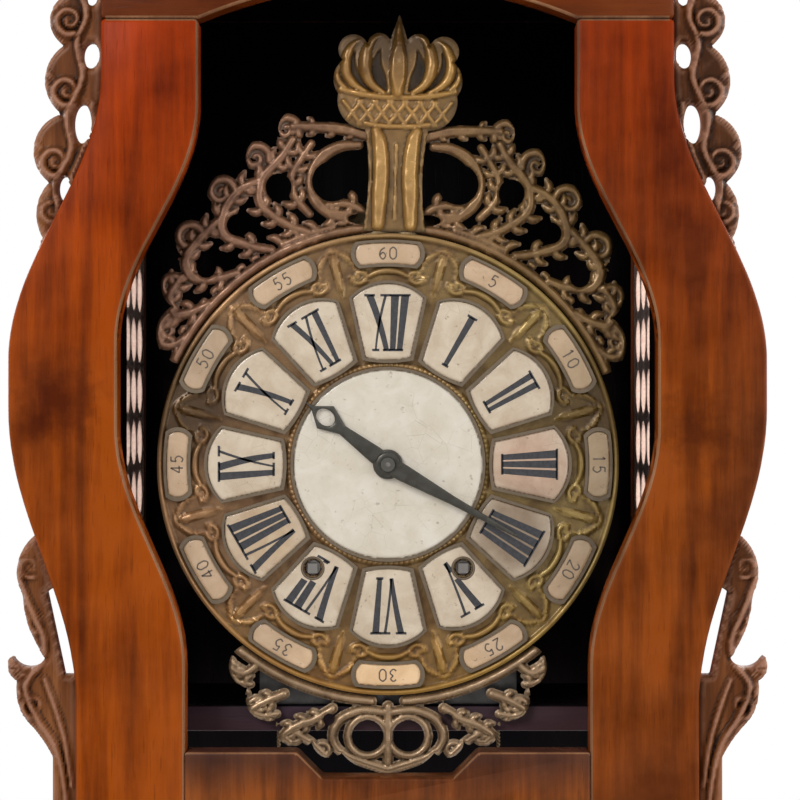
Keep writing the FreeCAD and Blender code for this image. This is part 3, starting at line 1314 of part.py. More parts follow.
def pendulum_pieces():
    top = ANCHOR[1] + CHOP_RISE
    low = ANCHOR[1] - CHOP_DROP
    chops = box(-CHOP_HALF, CHOP_HALF, PENDULUM_DEPTH - CHOP_DEEP / 2, PENDULUM_DEPTH + CHOP_DEEP / 2,
                low, top)
    slot = box(-CHOP_SLOT / 2, CHOP_SLOT / 2, PENDULUM_DEPTH - CHOP_DEEP, PENDULUM_DEPTH + CHOP_DEEP,
               ANCHOR[1] - CHOP_SLOT_DEEP, top + OVERRUN)
    bob_z = ANCHOR[1] - PENDULUM_LENGTH
    bob_low = bob_z - BOB_RADIUS
    half = ROD_WIDTH / 2
    strip = box(-half, half, PENDULUM_DEPTH - ROD_THICK / 2, PENDULUM_DEPTH + ROD_THICK / 2, bob_low, low)
    screw = post(ROD_SCREW, 0.0, PENDULUM_DEPTH, bob_low - 2 * NUT_THICK, bob_low)
    save(fused([chops.cut(slot), strip, screw]), "pendulum_rod")
    thick = BOB_THICK / 2
    edge = BOB_EDGE / 2

    def spot(reach, depth):
        return Vector(reach, -PENDULUM_DEPTH - depth, bob_z)

    bulge = (BOB_RADIUS + BOB_FLAT) / 2
    deep = edge + (thick - edge) * BOB_SWELL_SHARE
    edges = [Part.LineSegment(spot(0, thick), spot(BOB_FLAT, thick)).toShape(),
             Part.Arc(spot(BOB_FLAT, thick), spot(bulge, deep), spot(BOB_RADIUS, edge)).toShape(),
             Part.LineSegment(spot(BOB_RADIUS, edge), spot(BOB_RADIUS, -edge)).toShape(),
             Part.Arc(spot(BOB_RADIUS, -edge), spot(bulge, -deep), spot(BOB_FLAT, -thick)).toShape(),
             Part.LineSegment(spot(BOB_FLAT, -thick), spot(0, -thick)).toShape(),
             Part.LineSegment(spot(0, -thick), spot(0, thick)).toShape()]
    lens = Part.Face(Part.Wire(edges)).revolve(Vector(0, -PENDULUM_DEPTH, bob_z), Vector(0, 1, 0), 360)
    channel = box(-half - HAND_FIT, half + HAND_FIT, PENDULUM_DEPTH - ROD_THICK / 2 - HAND_FIT,
                  PENDULUM_DEPTH + ROD_THICK / 2 + HAND_FIT, bob_low - OVERRUN, bob_z + 2 * BOB_RADIUS)
    save(lens.cut(channel), "pendulum_bob")
    nut_high = bob_low - SOFT_GAP
    nut = post(NUT_RADIUS, 0.0, PENDULUM_DEPTH, nut_high - NUT_THICK, nut_high)
    bore = post(ROD_SCREW + RUNNING_FIT, 0.0, PENDULUM_DEPTH, nut_high - 2 * NUT_THICK, nut_high + OVERRUN)
    save(nut.cut(bore), "rating_nut")


def strike_train():
    save(barrel(STRIKE_GREAT), "strike_barrel")
    save(great_wheel(STRIKE_GREAT, PIN), "strike_great_wheel")
    leaves = pinion(PIN, GREAT_LEAVES, GREAT_MODULE, direction(PIN, STRIKE_GREAT), great_middle)
    body = wheel(PIN, PIN_TEETH, PIN_MODULE, direction(PIN, WARNING), pin_middle, WHEEL_THICK, PIN_RIM_SHARE)
    pins = []
    for pin in range(STRIKE_PINS):
        spot = beside(PIN, STRIKE_PIN_CIRCLE, 360.0 * pin / STRIKE_PINS)
        pins.append(disc(STRIKE_PIN, spot, pin_middle - STRIKE_PIN_LONG, pin_middle))
    save(fused([arbor(PIN), leaves, body] + pins), "pin_wheel")
    leaves = pinion(WARNING, WARNING_LEAVES, PIN_MODULE, direction(WARNING, PIN), pin_middle)
    body = wheel(WARNING, WARNING_TEETH, WARNING_MODULE, direction(WARNING, FLY), warning_middle,
                 WHEEL_THICK)
    save(fused([arbor(WARNING), leaves, body]), "warning_wheel")
    leaves = pinion(FLY, WARNING_LEAVES, WARNING_MODULE, direction(FLY, WARNING), warning_middle)
    fly_middle = front_plate_back - FLY_SET - FLY_LONG / 2
    vane = box(FLY[0] - FLY_HALF, FLY[0] + FLY_HALF, fly_middle - FLY_LONG / 2, fly_middle + FLY_LONG / 2,
               FLY[1] - FLY_THICK / 2, FLY[1] + FLY_THICK / 2)
    save(fused([arbor(FLY), leaves, vane]), "fly")
    tail_middle = front_plate_back - HAMMER_TAIL_SET
    tail = bar(HAMMER_PIVOT, HAMMER_TAIL, HAMMER_ARM, tail_middle - HAMMER_TAIL_THICK / 2,
               tail_middle + HAMMER_TAIL_THICK / 2)
    arm = bar(HAMMER_PIVOT, HAMMER_TOP, HAMMER_ARM, barrel_middle - HAMMER_ARM / 2,
              barrel_middle + HAMMER_ARM / 2)
    reach = -BELL_RADIUS - HAMMER_HEAD_GAP
    head = Part.makeCylinder(HAMMER_HEAD, reach - HAMMER_TOP[0] + HAMMER_ARM,
                             place(HAMMER_TOP[0] - HAMMER_ARM, HAMMER_TOP[1], barrel_middle),
                             Vector(1, 0, 0))
    save(fused([arbor(HAMMER_PIVOT), tail, arm, head]), "hammer")


def bell_pieces():
    top = BELL_LOW + BELL_HEIGHT
    neck = BELL_RADIUS * BELL_TOP_SHARE

    def spot(reach, z):
        return Vector(reach, -barrel_middle, z)

    def profile(shrink):
        outer = BELL_RADIUS - shrink
        high = top - shrink
        middle = BELL_LOW + (high - BELL_LOW) * BELL_RISE_SHARE
        return [spot(outer, BELL_LOW), spot(outer * BELL_SIDE_SHARE, middle), spot(neck, high)]

    out = profile(0.0)
    inn = profile(BELL_WALL)
    hole = STAND_POST + HAND_FIT
    edges = [Part.Arc(*out).toShape(), Part.LineSegment(out[2], spot(hole, top)).toShape(),
             Part.LineSegment(spot(hole, top), spot(hole, top - BELL_WALL)).toShape(),
             Part.LineSegment(spot(hole, top - BELL_WALL), inn[2]).toShape(),
             Part.Arc(inn[2], inn[1], inn[0]).toShape(), Part.LineSegment(inn[0], out[0]).toShape()]
    save(Part.Face(Part.Wire(edges)).revolve(spot(0, 0), Vector(0, 0, 1), 360), "bell")
    arm_low = STAND_ARM_HIGH - STAND_THICK
    foot = box(-STAND_HALF, STAND_HALF, back_plate_front, back_plate_front + STAND_THICK, STAND_LOW,
               STAND_ARM_HIGH)
    arm = box(-STAND_HALF, STAND_HALF, back_plate_front, barrel_middle + STAND_HALF, arm_low,
              STAND_ARM_HIGH)
    column = post(STAND_POST, 0.0, barrel_middle, arm_low, top + STAND_NUT_THICK)
    nut = post(STAND_NUT, 0.0, barrel_middle, top, top + STAND_NUT_THICK)
    save(fused([foot, arm, column, nut]), "bell_stand")


def weight(side):
    # A cylinder with domed ends, a neck and a ring that the line ties to.
    x = side * line_x
    neck_top = WEIGHT_TOP - 2 * RING_RADIUS + RING_WIRE
    shoulder = neck_top - WEIGHT_NECK
    low = shoulder - WEIGHT_LENGTH

    def spot(reach, z):
        return place(x + reach, z, barrel_middle)

    share = math.sqrt(0.5)
    edges = [Part.LineSegment(spot(0, neck_top), spot(WEIGHT_NECK, neck_top)).toShape(),
             Part.LineSegment(spot(WEIGHT_NECK, neck_top), spot(WEIGHT_NECK, shoulder)).toShape(),
             Part.Arc(spot(WEIGHT_NECK, shoulder),
                      spot(WEIGHT_NECK + (WEIGHT_RADIUS - WEIGHT_NECK) * share,
                           shoulder - WEIGHT_CAP * (1 - share)),
                      spot(WEIGHT_RADIUS, shoulder - WEIGHT_CAP)).toShape(),
             Part.LineSegment(spot(WEIGHT_RADIUS, shoulder - WEIGHT_CAP),
                              spot(WEIGHT_RADIUS, low + WEIGHT_CAP)).toShape(),
             Part.Arc(spot(WEIGHT_RADIUS, low + WEIGHT_CAP),
                      spot(WEIGHT_NECK + (WEIGHT_RADIUS - WEIGHT_NECK) * share,
                           low + WEIGHT_CAP * (1 - share)),
                      spot(WEIGHT_NECK, low)).toShape(),
             Part.LineSegment(spot(WEIGHT_NECK, low), spot(0, low)).toShape(),
             Part.LineSegment(spot(0, low), spot(0, neck_top)).toShape()]
    body = Part.Face(Part.Wire(edges)).revolve(spot(0, 0), Vector(0, 0, 1), 360)
    loop = Part.makeTorus(RING_RADIUS - RING_WIRE, RING_WIRE,
                          spot(0, WEIGHT_TOP - RING_RADIUS), Vector(0, 1, 0))
    return fused([body, loop])


def weight_line(side):
    return post(LINE_RADIUS, side * line_x, barrel_middle, WEIGHT_TOP + SOFT_GAP, GREAT[1])


case_pieces()
door_pieces()
hinge_pieces()
latch_pieces()
dial_pieces()
save(spun(fronton(), CENTRE, FRONTON_LEAN), "fronton")
save(lower_fret(), "lower_fret")
save(spun(crown(), CENTRE, FRONTON_LEAN), "crown")
hand_pieces()
plates()
going_train()
motion_work()
anchor_pieces()
cock_pieces()
pendulum_pieces()
strike_train()
bell_pieces()
save(weight(1), "going_weight")
save(weight(-1), "strike_weight")
save(weight_line(1), "going_line")
save(weight_line(-1), "strike_line")
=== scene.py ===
import json
import math

import bmesh
import bpy
import numpy as np
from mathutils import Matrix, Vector

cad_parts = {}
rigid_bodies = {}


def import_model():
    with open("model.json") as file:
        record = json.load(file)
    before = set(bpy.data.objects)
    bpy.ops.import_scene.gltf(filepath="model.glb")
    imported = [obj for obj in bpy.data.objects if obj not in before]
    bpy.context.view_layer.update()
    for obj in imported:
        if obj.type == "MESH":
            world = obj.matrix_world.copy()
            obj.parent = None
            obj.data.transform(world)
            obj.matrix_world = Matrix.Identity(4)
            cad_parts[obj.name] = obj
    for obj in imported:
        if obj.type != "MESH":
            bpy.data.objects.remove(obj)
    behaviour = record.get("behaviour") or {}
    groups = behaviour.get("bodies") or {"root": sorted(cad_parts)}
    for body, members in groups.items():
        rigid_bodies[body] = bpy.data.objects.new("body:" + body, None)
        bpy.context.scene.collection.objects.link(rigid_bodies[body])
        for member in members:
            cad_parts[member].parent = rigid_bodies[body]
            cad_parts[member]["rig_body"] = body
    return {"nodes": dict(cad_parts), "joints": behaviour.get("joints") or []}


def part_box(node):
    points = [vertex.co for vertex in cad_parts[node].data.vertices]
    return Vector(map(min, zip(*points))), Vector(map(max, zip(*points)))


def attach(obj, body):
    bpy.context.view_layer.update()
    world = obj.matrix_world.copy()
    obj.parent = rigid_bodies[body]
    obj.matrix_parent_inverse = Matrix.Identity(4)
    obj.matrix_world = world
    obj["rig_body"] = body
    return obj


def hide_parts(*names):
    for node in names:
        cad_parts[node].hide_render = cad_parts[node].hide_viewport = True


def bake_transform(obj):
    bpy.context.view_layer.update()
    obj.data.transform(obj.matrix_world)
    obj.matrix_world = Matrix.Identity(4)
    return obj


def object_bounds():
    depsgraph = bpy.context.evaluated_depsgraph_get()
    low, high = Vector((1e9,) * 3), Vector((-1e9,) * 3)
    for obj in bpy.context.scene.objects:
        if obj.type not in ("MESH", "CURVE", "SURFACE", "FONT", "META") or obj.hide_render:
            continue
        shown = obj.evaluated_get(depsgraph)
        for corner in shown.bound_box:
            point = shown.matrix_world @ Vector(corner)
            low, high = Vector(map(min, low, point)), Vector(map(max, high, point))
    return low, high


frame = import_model()
cad_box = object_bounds()

NODES = frame["nodes"]
BODY_OF = {node: obj["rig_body"] for node, obj in NODES.items()}
MM = 0.001

# Most sizes below are millimetres about the dial's centre: x to the right, z up, depth from the wall.
disc_low, disc_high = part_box("centre_disc")
DIAL_Z = (disc_low.z + disc_high.z) / 2


def row(x, depth, z):
    """A place in the frame's metres."""
    return (x * MM, -depth * MM, z * MM + DIAL_Z)


def depths(node):
    """Back and front of a CAD node, as depths from the wall in millimetres."""
    low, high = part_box(node)
    return -high.y / MM, -low.y / MM


# Pieces and their meshes

def join_frame(obj, body, finish, replaces=()):
    """A finished piece gets its material, its body and the CAD nodes that it stands for."""
    if obj.name not in bpy.context.scene.collection.objects:
        bpy.context.scene.collection.objects.link(obj)
    if finish is not None:
        obj.data.materials.clear()
        obj.data.materials.append(finish)
    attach(obj, body)
    if replaces:
        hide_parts(*replaces)
    return obj


def new_piece(name, verts, faces, body, finish, replaces=(), crease=40, relief=None):
    """A piece of its own. Edges sharper than crease stay sharp, and relief is each point's share of the height."""
    mesh = bpy.data.meshes.new(name)
    mesh.from_pydata(verts, [], faces)
    mesh.update()
    if relief is not None:
        layer = mesh.attributes.new("relief", "FLOAT", "POINT")
        layer.data.foreach_set("value", np.asarray(relief, np.float32))
    mesh.polygons.foreach_set("use_smooth", [True] * len(mesh.polygons))
    mesh.set_sharp_from_angle(angle=math.radians(crease))
    return join_frame(bpy.data.objects.new(name, mesh), body, finish, replaces)


FLAT_ANGLE, EASED_ANGLE, SHARP_ANGLE = math.radians(0.6), math.radians(35), math.radians(32)
WELD = 0.01 * MM


def eased_copy(name, node, ease, finish, segments, second):
    """A copy of a CAD piece with its sharp edges rounded over. second is a test of a face's centre and normal, and
    the finish of the faces for which it is true."""
    mesh = NODES[node].data.copy()
    mesh.name = name
    work = bmesh.new()
    work.from_mesh(mesh)
    bmesh.ops.remove_doubles(work, verts=work.verts, dist=WELD)
    bmesh.ops.dissolve_limit(work, angle_limit=FLAT_ANGLE, verts=work.verts, edges=work.edges)
    sharp = [e for e in work.edges if len(e.link_faces) == 2 and e.calc_face_angle(0) > EASED_ANGLE]
    bmesh.ops.bevel(work, geom=sharp, offset=ease * MM, segments=segments, profile=0.5, affect="EDGES",
                    clamp_overlap=True)
    work.to_mesh(mesh)
    work.free()
    mesh.polygons.foreach_set("use_smooth", [True] * len(mesh.polygons))
    mesh.set_sharp_from_angle(angle=SHARP_ANGLE)
    test, other_finish = second
    mesh.materials.clear()
    mesh.materials.append(finish)
    mesh.materials.append(other_finish)
    for face in mesh.polygons:
        face.material_index = 1 if test(face.center, face.normal) else 0
    return join_frame(bpy.data.objects.new(name, mesh), BODY_OF[node], None, (node,))


FRONT_SLACK = 0.02 * MM


def front_islands(node):
    """Edges of the flat front of each solid of a node, as rows of ax, az, bx, bz about the dial's centre."""
    mesh = NODES[node].data
    nearest = min(v.co.y for v in mesh.vertices)
    count = {}
    owner = {}

    def root_of(key):
        while owner[key] != key:
            owner[key] = owner[owner[key]]
            key = owner[key]
        return key

    for face in mesh.polygons:
        if face.normal.y > -0.99 or abs(face.center.y - nearest) > FRONT_SLACK:
            continue
        keys = []
        for index in face.vertices:
            co = mesh.vertices[index].co
            key = (round(co.x / MM, 3), round((co.z - DIAL_Z) / MM, 3))
            owner.setdefault(key, key)
            keys.append(key)
        for a, b in zip(keys, keys[1:] + keys[:1]):
            pair = (min(a, b), max(a, b))
            count[pair] = count.get(pair, 0) + 1
            owner[root_of(a)] = root_of(b)
    islands = {}
    for (a, b), times in count.items():
        if times == 1:
            islands.setdefault(root_of(a), []).append((*a, *b))
    return [np.array(edges) for edges in islands.values()]


def outline_reach(x, z, edges):
    """How far inside an outline each point of a grid lies; negative outside."""
    least = np.full(x.shape, 1e9)
    inside = np.zeros(x.shape, bool)
    for ax, az, bx, bz in edges:
        dx, dz = bx - ax, bz - az
        span = dx * dx + dz * dz
        if span < 1e-9:
            continue
        along = np.clip(((x - ax) * dx + (z - az) * dz) / span, 0, 1)
        least = np.minimum(least, (x - ax - along * dx) ** 2 + (z - az - along * dz) ** 2)
        if dz:
            inside ^= ((az > z) != (bz > z)) & (x < ax + (z - az) / dz * dx)
    return np.where(inside, 1, -1) * np.sqrt(least)


def smooth_run(points, steps=5):
    """A smooth line through points; every number of a point, its width too, is eased along."""
    points = np.array(points, float)
    if len(points) < 3:
        return points
    ends = np.vstack([2 * points[0] - points[1], points, 2 * points[-1] - points[-2]])
    out = []
    for k in range(1, len(ends) - 2):
        a, b, c, d = ends[k - 1:k + 3]
        for step in range(steps):
            t = step / steps
            out.append(0.5 * (2 * b + (c - a) * t + (2 * a - 5 * b + 4 * c - d) * t * t
                              + (3 * b - a - 3 * c + d) * t ** 3))
    out.append(points[-1])
    return np.array(out)


def stroke_fields(x, z, strokes, steps=5):
    """For rounded strokes of (x, z, half width): how far inside them a point lies, and how high they stand there."""
    reach = np.full(x.shape, -1e3)
    tall = np.zeros(x.shape)
    for stroke in strokes:
        run = smooth_run(stroke, steps)
        for (ax, az, aw), (bx, bz, bw) in zip(run, run[1:]):
            dx, dz = bx - ax, bz - az
            span = max(dx * dx + dz * dz, 1e-9)
            along = np.clip(((x - ax) * dx + (z - az) * dz) / span, 0, 1)
            off = np.hypot(x - ax - along * dx, z - az - along * dz)
            wide = np.maximum(aw + along * (bw - aw), 0.05)
            reach = np.maximum(reach, wide - off)
            tall = np.maximum(tall, wide * np.sqrt(np.clip(1 - (off / wide) ** 2, 0, 1)))
    return reach, tall


def spiral(cx, cz, start, turns, outer, inner, wide, thin, steps=14):
    """Points of a scroll that winds inwards: angles in degrees, positive turns run counterclockwise."""
    out = []
    for step in range(steps + 1):
        share = step / steps
        angle = math.radians(start + 360 * turns * share)
        radius = outer + (inner - outer) * share
        out.append((cx + radius * math.cos(angle), cz + radius * math.sin(angle), wide + (thin - wide) * share))
    return out


def relief_grid(x, z, reach, front, back, verts, faces, marks, spacing):
    """Adds the closed solid over the part of a grid where reach is positive. front holds the depth of each point,
    and the points of the rim move to the outline, by little more than a grid step at most."""
    ok = reach > -spacing / 2
    cells = ok[:-1, :-1] & ok[1:, :-1] & ok[:-1, 1:] & ok[1:, 1:]
    used = np.zeros(ok.shape, bool)
    used[:-1, :-1] |= cells
    used[1:, :-1] |= cells
    used[:-1, 1:] |= cells
    used[1:, 1:] |= cells
    full = np.zeros(ok.shape, bool)
    full[1:-1, 1:-1] = cells[:-1, :-1] & cells[1:, :-1] & cells[:-1, 1:] & cells[1:, 1:]
    rim = used & ~full
    gx, gz = np.gradient(reach, spacing)
    steep = np.maximum(gx * gx + gz * gz, 0.25)
    shift = np.where(rim, np.clip(reach, -1.2 * spacing, 1.2 * spacing), 0) / steep
    px, pz = x - shift * gx, z - shift * gz
    index = np.full(ok.shape, -1)
    index[used] = np.arange(used.sum())
    base = len(verts)
    total = int(used.sum())
    level = front[used]
    top = np.column_stack([px[used] * MM, -level * MM, pz[used] * MM + DIAL_Z])
    low = top.copy()
    low[:, 1] = -back * MM
    verts.extend(map(tuple, top))
    verts.extend(map(tuple, low))
    marks.append(level)
    marks.append(np.full(total, back))
    i, j = np.nonzero(cells)
    quads = np.column_stack([index[i, j], index[i + 1, j], index[i + 1, j + 1], index[i, j + 1]])
    edges = np.vstack([quads[:, [k, (k + 1) % 4]] for k in range(4)])
    code = edges[:, 0] * total + edges[:, 1]
    lone = edges[~np.isin(code, edges[:, 1] * total + edges[:, 0])]
    faces.extend(map(tuple, quads + base))
    faces.extend(map(tuple, quads[:, ::-1] + base + total))
    faces.extend((b + base, a + base, a + base + total, b + base + total) for a, b in lone)


def carved_piece(name, node, spacing, shape, finish, crease=50):
    """Stands for a flat CAD node: its own outline, with the front shaped by shape(x, z, reach, back, front),
    which gives the reach to keep and the depth of the front at each point."""
    back, front = depths(node)
    verts, faces, marks = [], [], []
    for edges in front_islands(node):
        low = np.minimum(edges[:, :2].min(0), edges[:, 2:].min(0)) - 2 * spacing
        high = np.maximum(edges[:, :2].max(0), edges[:, 2:].max(0)) + 2 * spacing
        x, z = np.meshgrid(np.arange(low[0], high[0], spacing), np.arange(low[1], high[1], spacing), indexing="ij")
        reach, depth = shape(x, z, outline_reach(x, z, edges), back, front)
        relief_grid(x, z, reach, depth, back, verts, faces, marks, spacing)
    marks = np.concatenate(marks)
    tall = max(marks.max() - back, 1e-6)
    return new_piece(name, verts, faces, BODY_OF[node], finish, (node,), crease, (marks - back) / tall)


def shoulder(reach, wide, tall):
    """Height of a rounded edge: 0 at the outline and tall from wide inwards."""
    share = np.clip(reach / wide, 0, 1)
    return tall * np.sqrt(np.clip(1 - (1 - share) ** 2, 0, 1))


# Finishes

def add(tree, kind, sockets=None, **settings):
    """A shader node with its settings and its sockets, which take a value or another node's output."""
    made = tree.nodes.new(kind)
    for key, value in settings.items():
        setattr(made, key, value)
    for key, value in (sockets or {}).items():
        if isinstance(value, bpy.types.NodeSocket):
            tree.links.new(value, made.inputs[key])
        else:
            made.inputs[key].default_value = value
    return made


def maths(tree, operation, first, second=0.0, third=0.0, clamp=False):
    """One sum of two or three values."""
    made = add(tree, "ShaderNodeMath", {0: first, 1: second, 2: third}, operation=operation, use_clamp=clamp)
    return made.outputs[0]


def spread(tree, value, low, high, to_low=0.0, to_high=1.0):
    """Carries a value from one span to another and holds it there."""
    return add(tree, "ShaderNodeMapRange", {0: value, 1: low, 2: high, 3: to_low, 4: to_high}).outputs[0]


def mixed(tree, share, first, second, blend_type="MIX"):
    """Carries one colour over to another by a share, or multiplies it by the other."""
    made = add(tree, "ShaderNodeMix", data_type="RGBA", blend_type=blend_type)
    for index, value in ((0, share), (6, first), (7, second)):
        if isinstance(value, bpy.types.NodeSocket):
            tree.links.new(value, made.inputs[index])
        else:
            made.inputs[index].default_value = value
    return made.outputs[2]


def gap_to(tree, place, spot):
    """How far a place lies from a spot."""
    return add(tree, "ShaderNodeVectorMath", {0: place, 1: spot}, operation="DISTANCE").outputs["Value"]


def stretched(tree, place, stretch):
    """A place scaled along each axis, so that a pattern runs along an axis with a small scale."""
    return add(tree, "ShaderNodeVectorMath", {0: place, 1: stretch}, operation="MULTIPLY").outputs[0]


def noise(tree, place, scale, detail, rough, warp=0.0):
    return add(tree, "ShaderNodeTexNoise", {"Vector": place, "Scale": scale, "Detail": detail, "Roughness": rough,
                                            "Distortion": warp}).outputs["Fac"]


SOCKETS = {"colour": "NodeSocketColor", "value": "NodeSocketFloat", "vector": "NodeSocketVector"}


def start_group(name, inputs, outputs):
    """An empty node group, with the sockets of its inputs and of its outputs."""
    group = bpy.data.node_groups.new(name, "ShaderNodeTree")
    for label, kind, value in inputs:
        made = group.interface.new_socket(label, in_out="INPUT", socket_type=SOCKETS[kind])
        made.default_value = value
    for label, kind in outputs:
        group.interface.new_socket(label, in_out="OUTPUT", socket_type=SOCKETS[kind])
    return group, group.nodes.new("NodeGroupInput").outputs, group.nodes.new("NodeGroupOutput").inputs


def object_place(tree):
    return tree.nodes.new("ShaderNodeTexCoord").outputs["Object"]


def wood_grain_group():
    """Figured wood: broad streaks, fine fibres and short dark pores that run along the stretch given."""
    tree, given, out = start_group(
        "wood_grain",
        [("Stretch", "vector", (1, 1, 0.08)), ("Light", "colour", (0.38, 0.08, 0.01, 1)),
         ("Middle", "colour", (0.26, 0.06, 0.006, 1)), ("Dark", "colour", (0.12, 0.03, 0.004, 1)),
         ("Figure", "value", 1.0), ("Pores", "value", 0.6)],
        [("Color", "colour"), ("Roughness", "value"), ("Height", "value")])
    place = object_place(tree)
    along = stretched(tree, place, given["Stretch"])
    broad = noise(tree, along, 16, 3, 0.5, 0.7)
    bands = maths(tree, "SINE", maths(tree, "MULTIPLY", broad, 34.0))
    streak = noise(tree, along, 70, 5, 0.6, 0.3)
    fibre = noise(tree, along, 420, 3, 0.6)
    cloud = noise(tree, place, 14, 2, 0.5)
    level = maths(tree, "MULTIPLY_ADD", bands, 0.11, streak)
    level = maths(tree, "MULTIPLY_ADD", maths(tree, "SUBTRACT", fibre, 0.5), 0.35, level)
    level = maths(tree, "MULTIPLY_ADD", maths(tree, "SUBTRACT", cloud, 0.5), 0.9, level)
    level = maths(tree, "MULTIPLY_ADD", maths(tree, "SUBTRACT", level, 0.5), given["Figure"], 0.5)
    dark_share = spread(tree, level, 0.5, 0.22)
    light_share = spread(tree, level, 0.5, 0.76)
    colour = mixed(tree, light_share, given["Middle"], given["Light"])
    colour = mixed(tree, dark_share, colour, given["Dark"])
    pores = spread(tree, noise(tree, along, 900, 2, 0.5), 0.63, 0.7)
    pores = maths(tree, "MULTIPLY", pores, given["Pores"])
    tree.links.new(mixed(tree, maths(tree, "MULTIPLY", pores, 0.7), colour, given["Dark"]), out["Color"])
    tree.links.new(spread(tree, level, 0.25, 0.8, 0.42, 0.26), out["Roughness"])
    height = maths(tree, "MULTIPLY_ADD", fibre, 0.3, maths(tree, "MULTIPLY", level, 0.4))
    tree.links.new(maths(tree, "SUBTRACT", height, pores), out["Height"])
    return tree


def worn_edges_group():
    """A mask of the raised edges, broken up as by years of handling, and one of the hollows where dirt stays."""
    tree, given, out = start_group(
        "worn_edges", [("Wear", "value", 0.5), ("Dirt", "value", 0.5), ("Scale", "value", 90.0)],
        [("Edges", "value"), ("Hollows", "value")])
    place = object_place(tree)
    point = tree.nodes.new("ShaderNodeNewGeometry").outputs["Pointiness"]
    patch = noise(tree, place, given["Scale"], 4, 0.6)
    ragged = maths(tree, "MULTIPLY_ADD", maths(tree, "SUBTRACT", patch, 0.5), 0.06, point)
    raised, sunk = spread(tree, ragged, 0.505, 0.57), spread(tree, ragged, 0.495, 0.44)
    tree.links.new(maths(tree, "MULTIPLY", raised, given["Wear"]), out["Edges"])
    tree.links.new(maths(tree, "MULTIPLY", sunk, given["Dirt"]), out["Hollows"])
    return tree


def patina_group():
    """Old metal: bright where it is rubbed, brown in clouds and spots, with fine scratches and cast grain."""
    tree, given, out = start_group(
        "patina",
        [("Bright", "colour", (0.5, 0.32, 0.12, 1)), ("Tarnish", "colour", (0.12, 0.06, 0.02, 1)),
         ("Cover", "value", 0.5), ("Scale", "value", 60.0), ("Scratches", "value", 0.4)],
        [("Color", "colour"), ("Roughness", "value"), ("Height", "value")])
    place = object_place(tree)
    cloud = noise(tree, place, given["Scale"], 6, 0.62, 0.4)
    spots = spread(tree, noise(tree, place, maths(tree, "MULTIPLY", given["Scale"], 7.0), 3, 0.6), 0.6, 0.72)
    share = maths(tree, "ADD", cloud, maths(tree, "SUBTRACT", given["Cover"], 0.5))
    share = spread(tree, share, 0.38, 0.66)
    share = maths(tree, "MAXIMUM", share, maths(tree, "MULTIPLY", spots, given["Cover"]))
    scratch = noise(tree, stretched(tree, place, (1.0, 1.0, 14.0)), 260, 2, 0.5)
    scratch = maths(tree, "MULTIPLY", spread(tree, scratch, 0.62, 0.66), given["Scratches"])
    tree.links.new(mixed(tree, share, given["Bright"], given["Tarnish"]), out["Color"])
    tree.links.new(maths(tree, "MULTIPLY_ADD", scratch, 0.12, spread(tree, share, 0.0, 1.0, 0.24, 0.55)),
                   out["Roughness"])
    tree.links.new(maths(tree, "SUBTRACT", cloud, maths(tree, "MULTIPLY", scratch, 0.3)), out["Height"])
    return tree


def ragged_spot_group():
    """A mask of a ragged round spot: 1 within the inner share of its radius and 0 beyond the outer one."""
    tree, given, out = start_group(
        "ragged_spot",
        [("Place", "vector", (0, 0, 0)), ("Radius", "value", 0.03), ("Scale", "value", 60.0),
         ("Detail", "value", 3.0), ("Ragged", "value", 0.5), ("Outer", "value", 1.25), ("Inner", "value", 0.65)],
        [("Mask", "value")])
    place = object_place(tree)
    cloud = noise(tree, place, given["Scale"], given["Detail"], 0.6)
    wide = maths(tree, "MULTIPLY", given["Radius"], given["Ragged"])
    gap = maths(tree, "MULTIPLY_ADD", cloud, wide, gap_to(tree, place, given["Place"]))
    outer = maths(tree, "MULTIPLY", given["Radius"], given["Outer"])
    inner = maths(tree, "MULTIPLY", given["Radius"], given["Inner"])
    tree.links.new(spread(tree, gap, outer, inner), out["Mask"])
    return tree


def height_tint_group():
    """Multiplies a colour by a tint that changes with the height, from a low place to a high one."""
    tree, given, out = start_group(
        "height_tint",
        [("Color", "colour", (1, 1, 1, 1)), ("Low Tint", "colour", (1, 1, 1, 1)),
         ("High Tint", "colour", (1, 1, 1, 1)), ("Low", "value", 0.0), ("High", "value", 0.1)],
        [("Color", "colour")])
    up = add(tree, "ShaderNodeSeparateXYZ", {0: object_place(tree)}).outputs["Z"]
    tint = mixed(tree, spread(tree, up, given["Low"], given["High"]), given["Low Tint"], given["High Tint"])
    tree.links.new(mixed(tree, 1.0, given["Color"], tint, "MULTIPLY"), out["Color"])
    return tree


def side_tint_group():
    """Multiplies a colour by a tint that changes from the left side of the dial to the right one: a painted highlight
    on the left and painted shade on the right.
    """
    tree, given, out = start_group(
        "side_tint",
        [("Color", "colour", (1, 1, 1, 1)), ("Left Tint", "colour", (1, 1, 1, 1)),
         ("Right Tint", "colour", (1, 1, 1, 1))],
        [("Color", "colour")])
    place = object_place(tree)
    side = add(tree, "ShaderNodeSeparateXYZ", {0: place}).outputs["X"]
    side = maths(tree, "MULTIPLY_ADD", noise(tree, place, 18, 2, 0.5), 0.12, side)
    tint = mixed(tree, spread(tree, side, -0.03, 0.15), given["Left Tint"], given["Right Tint"])
    tree.links.new(mixed(tree, 1.0, given["Color"], tint, "MULTIPLY"), out["Color"])
    return tree


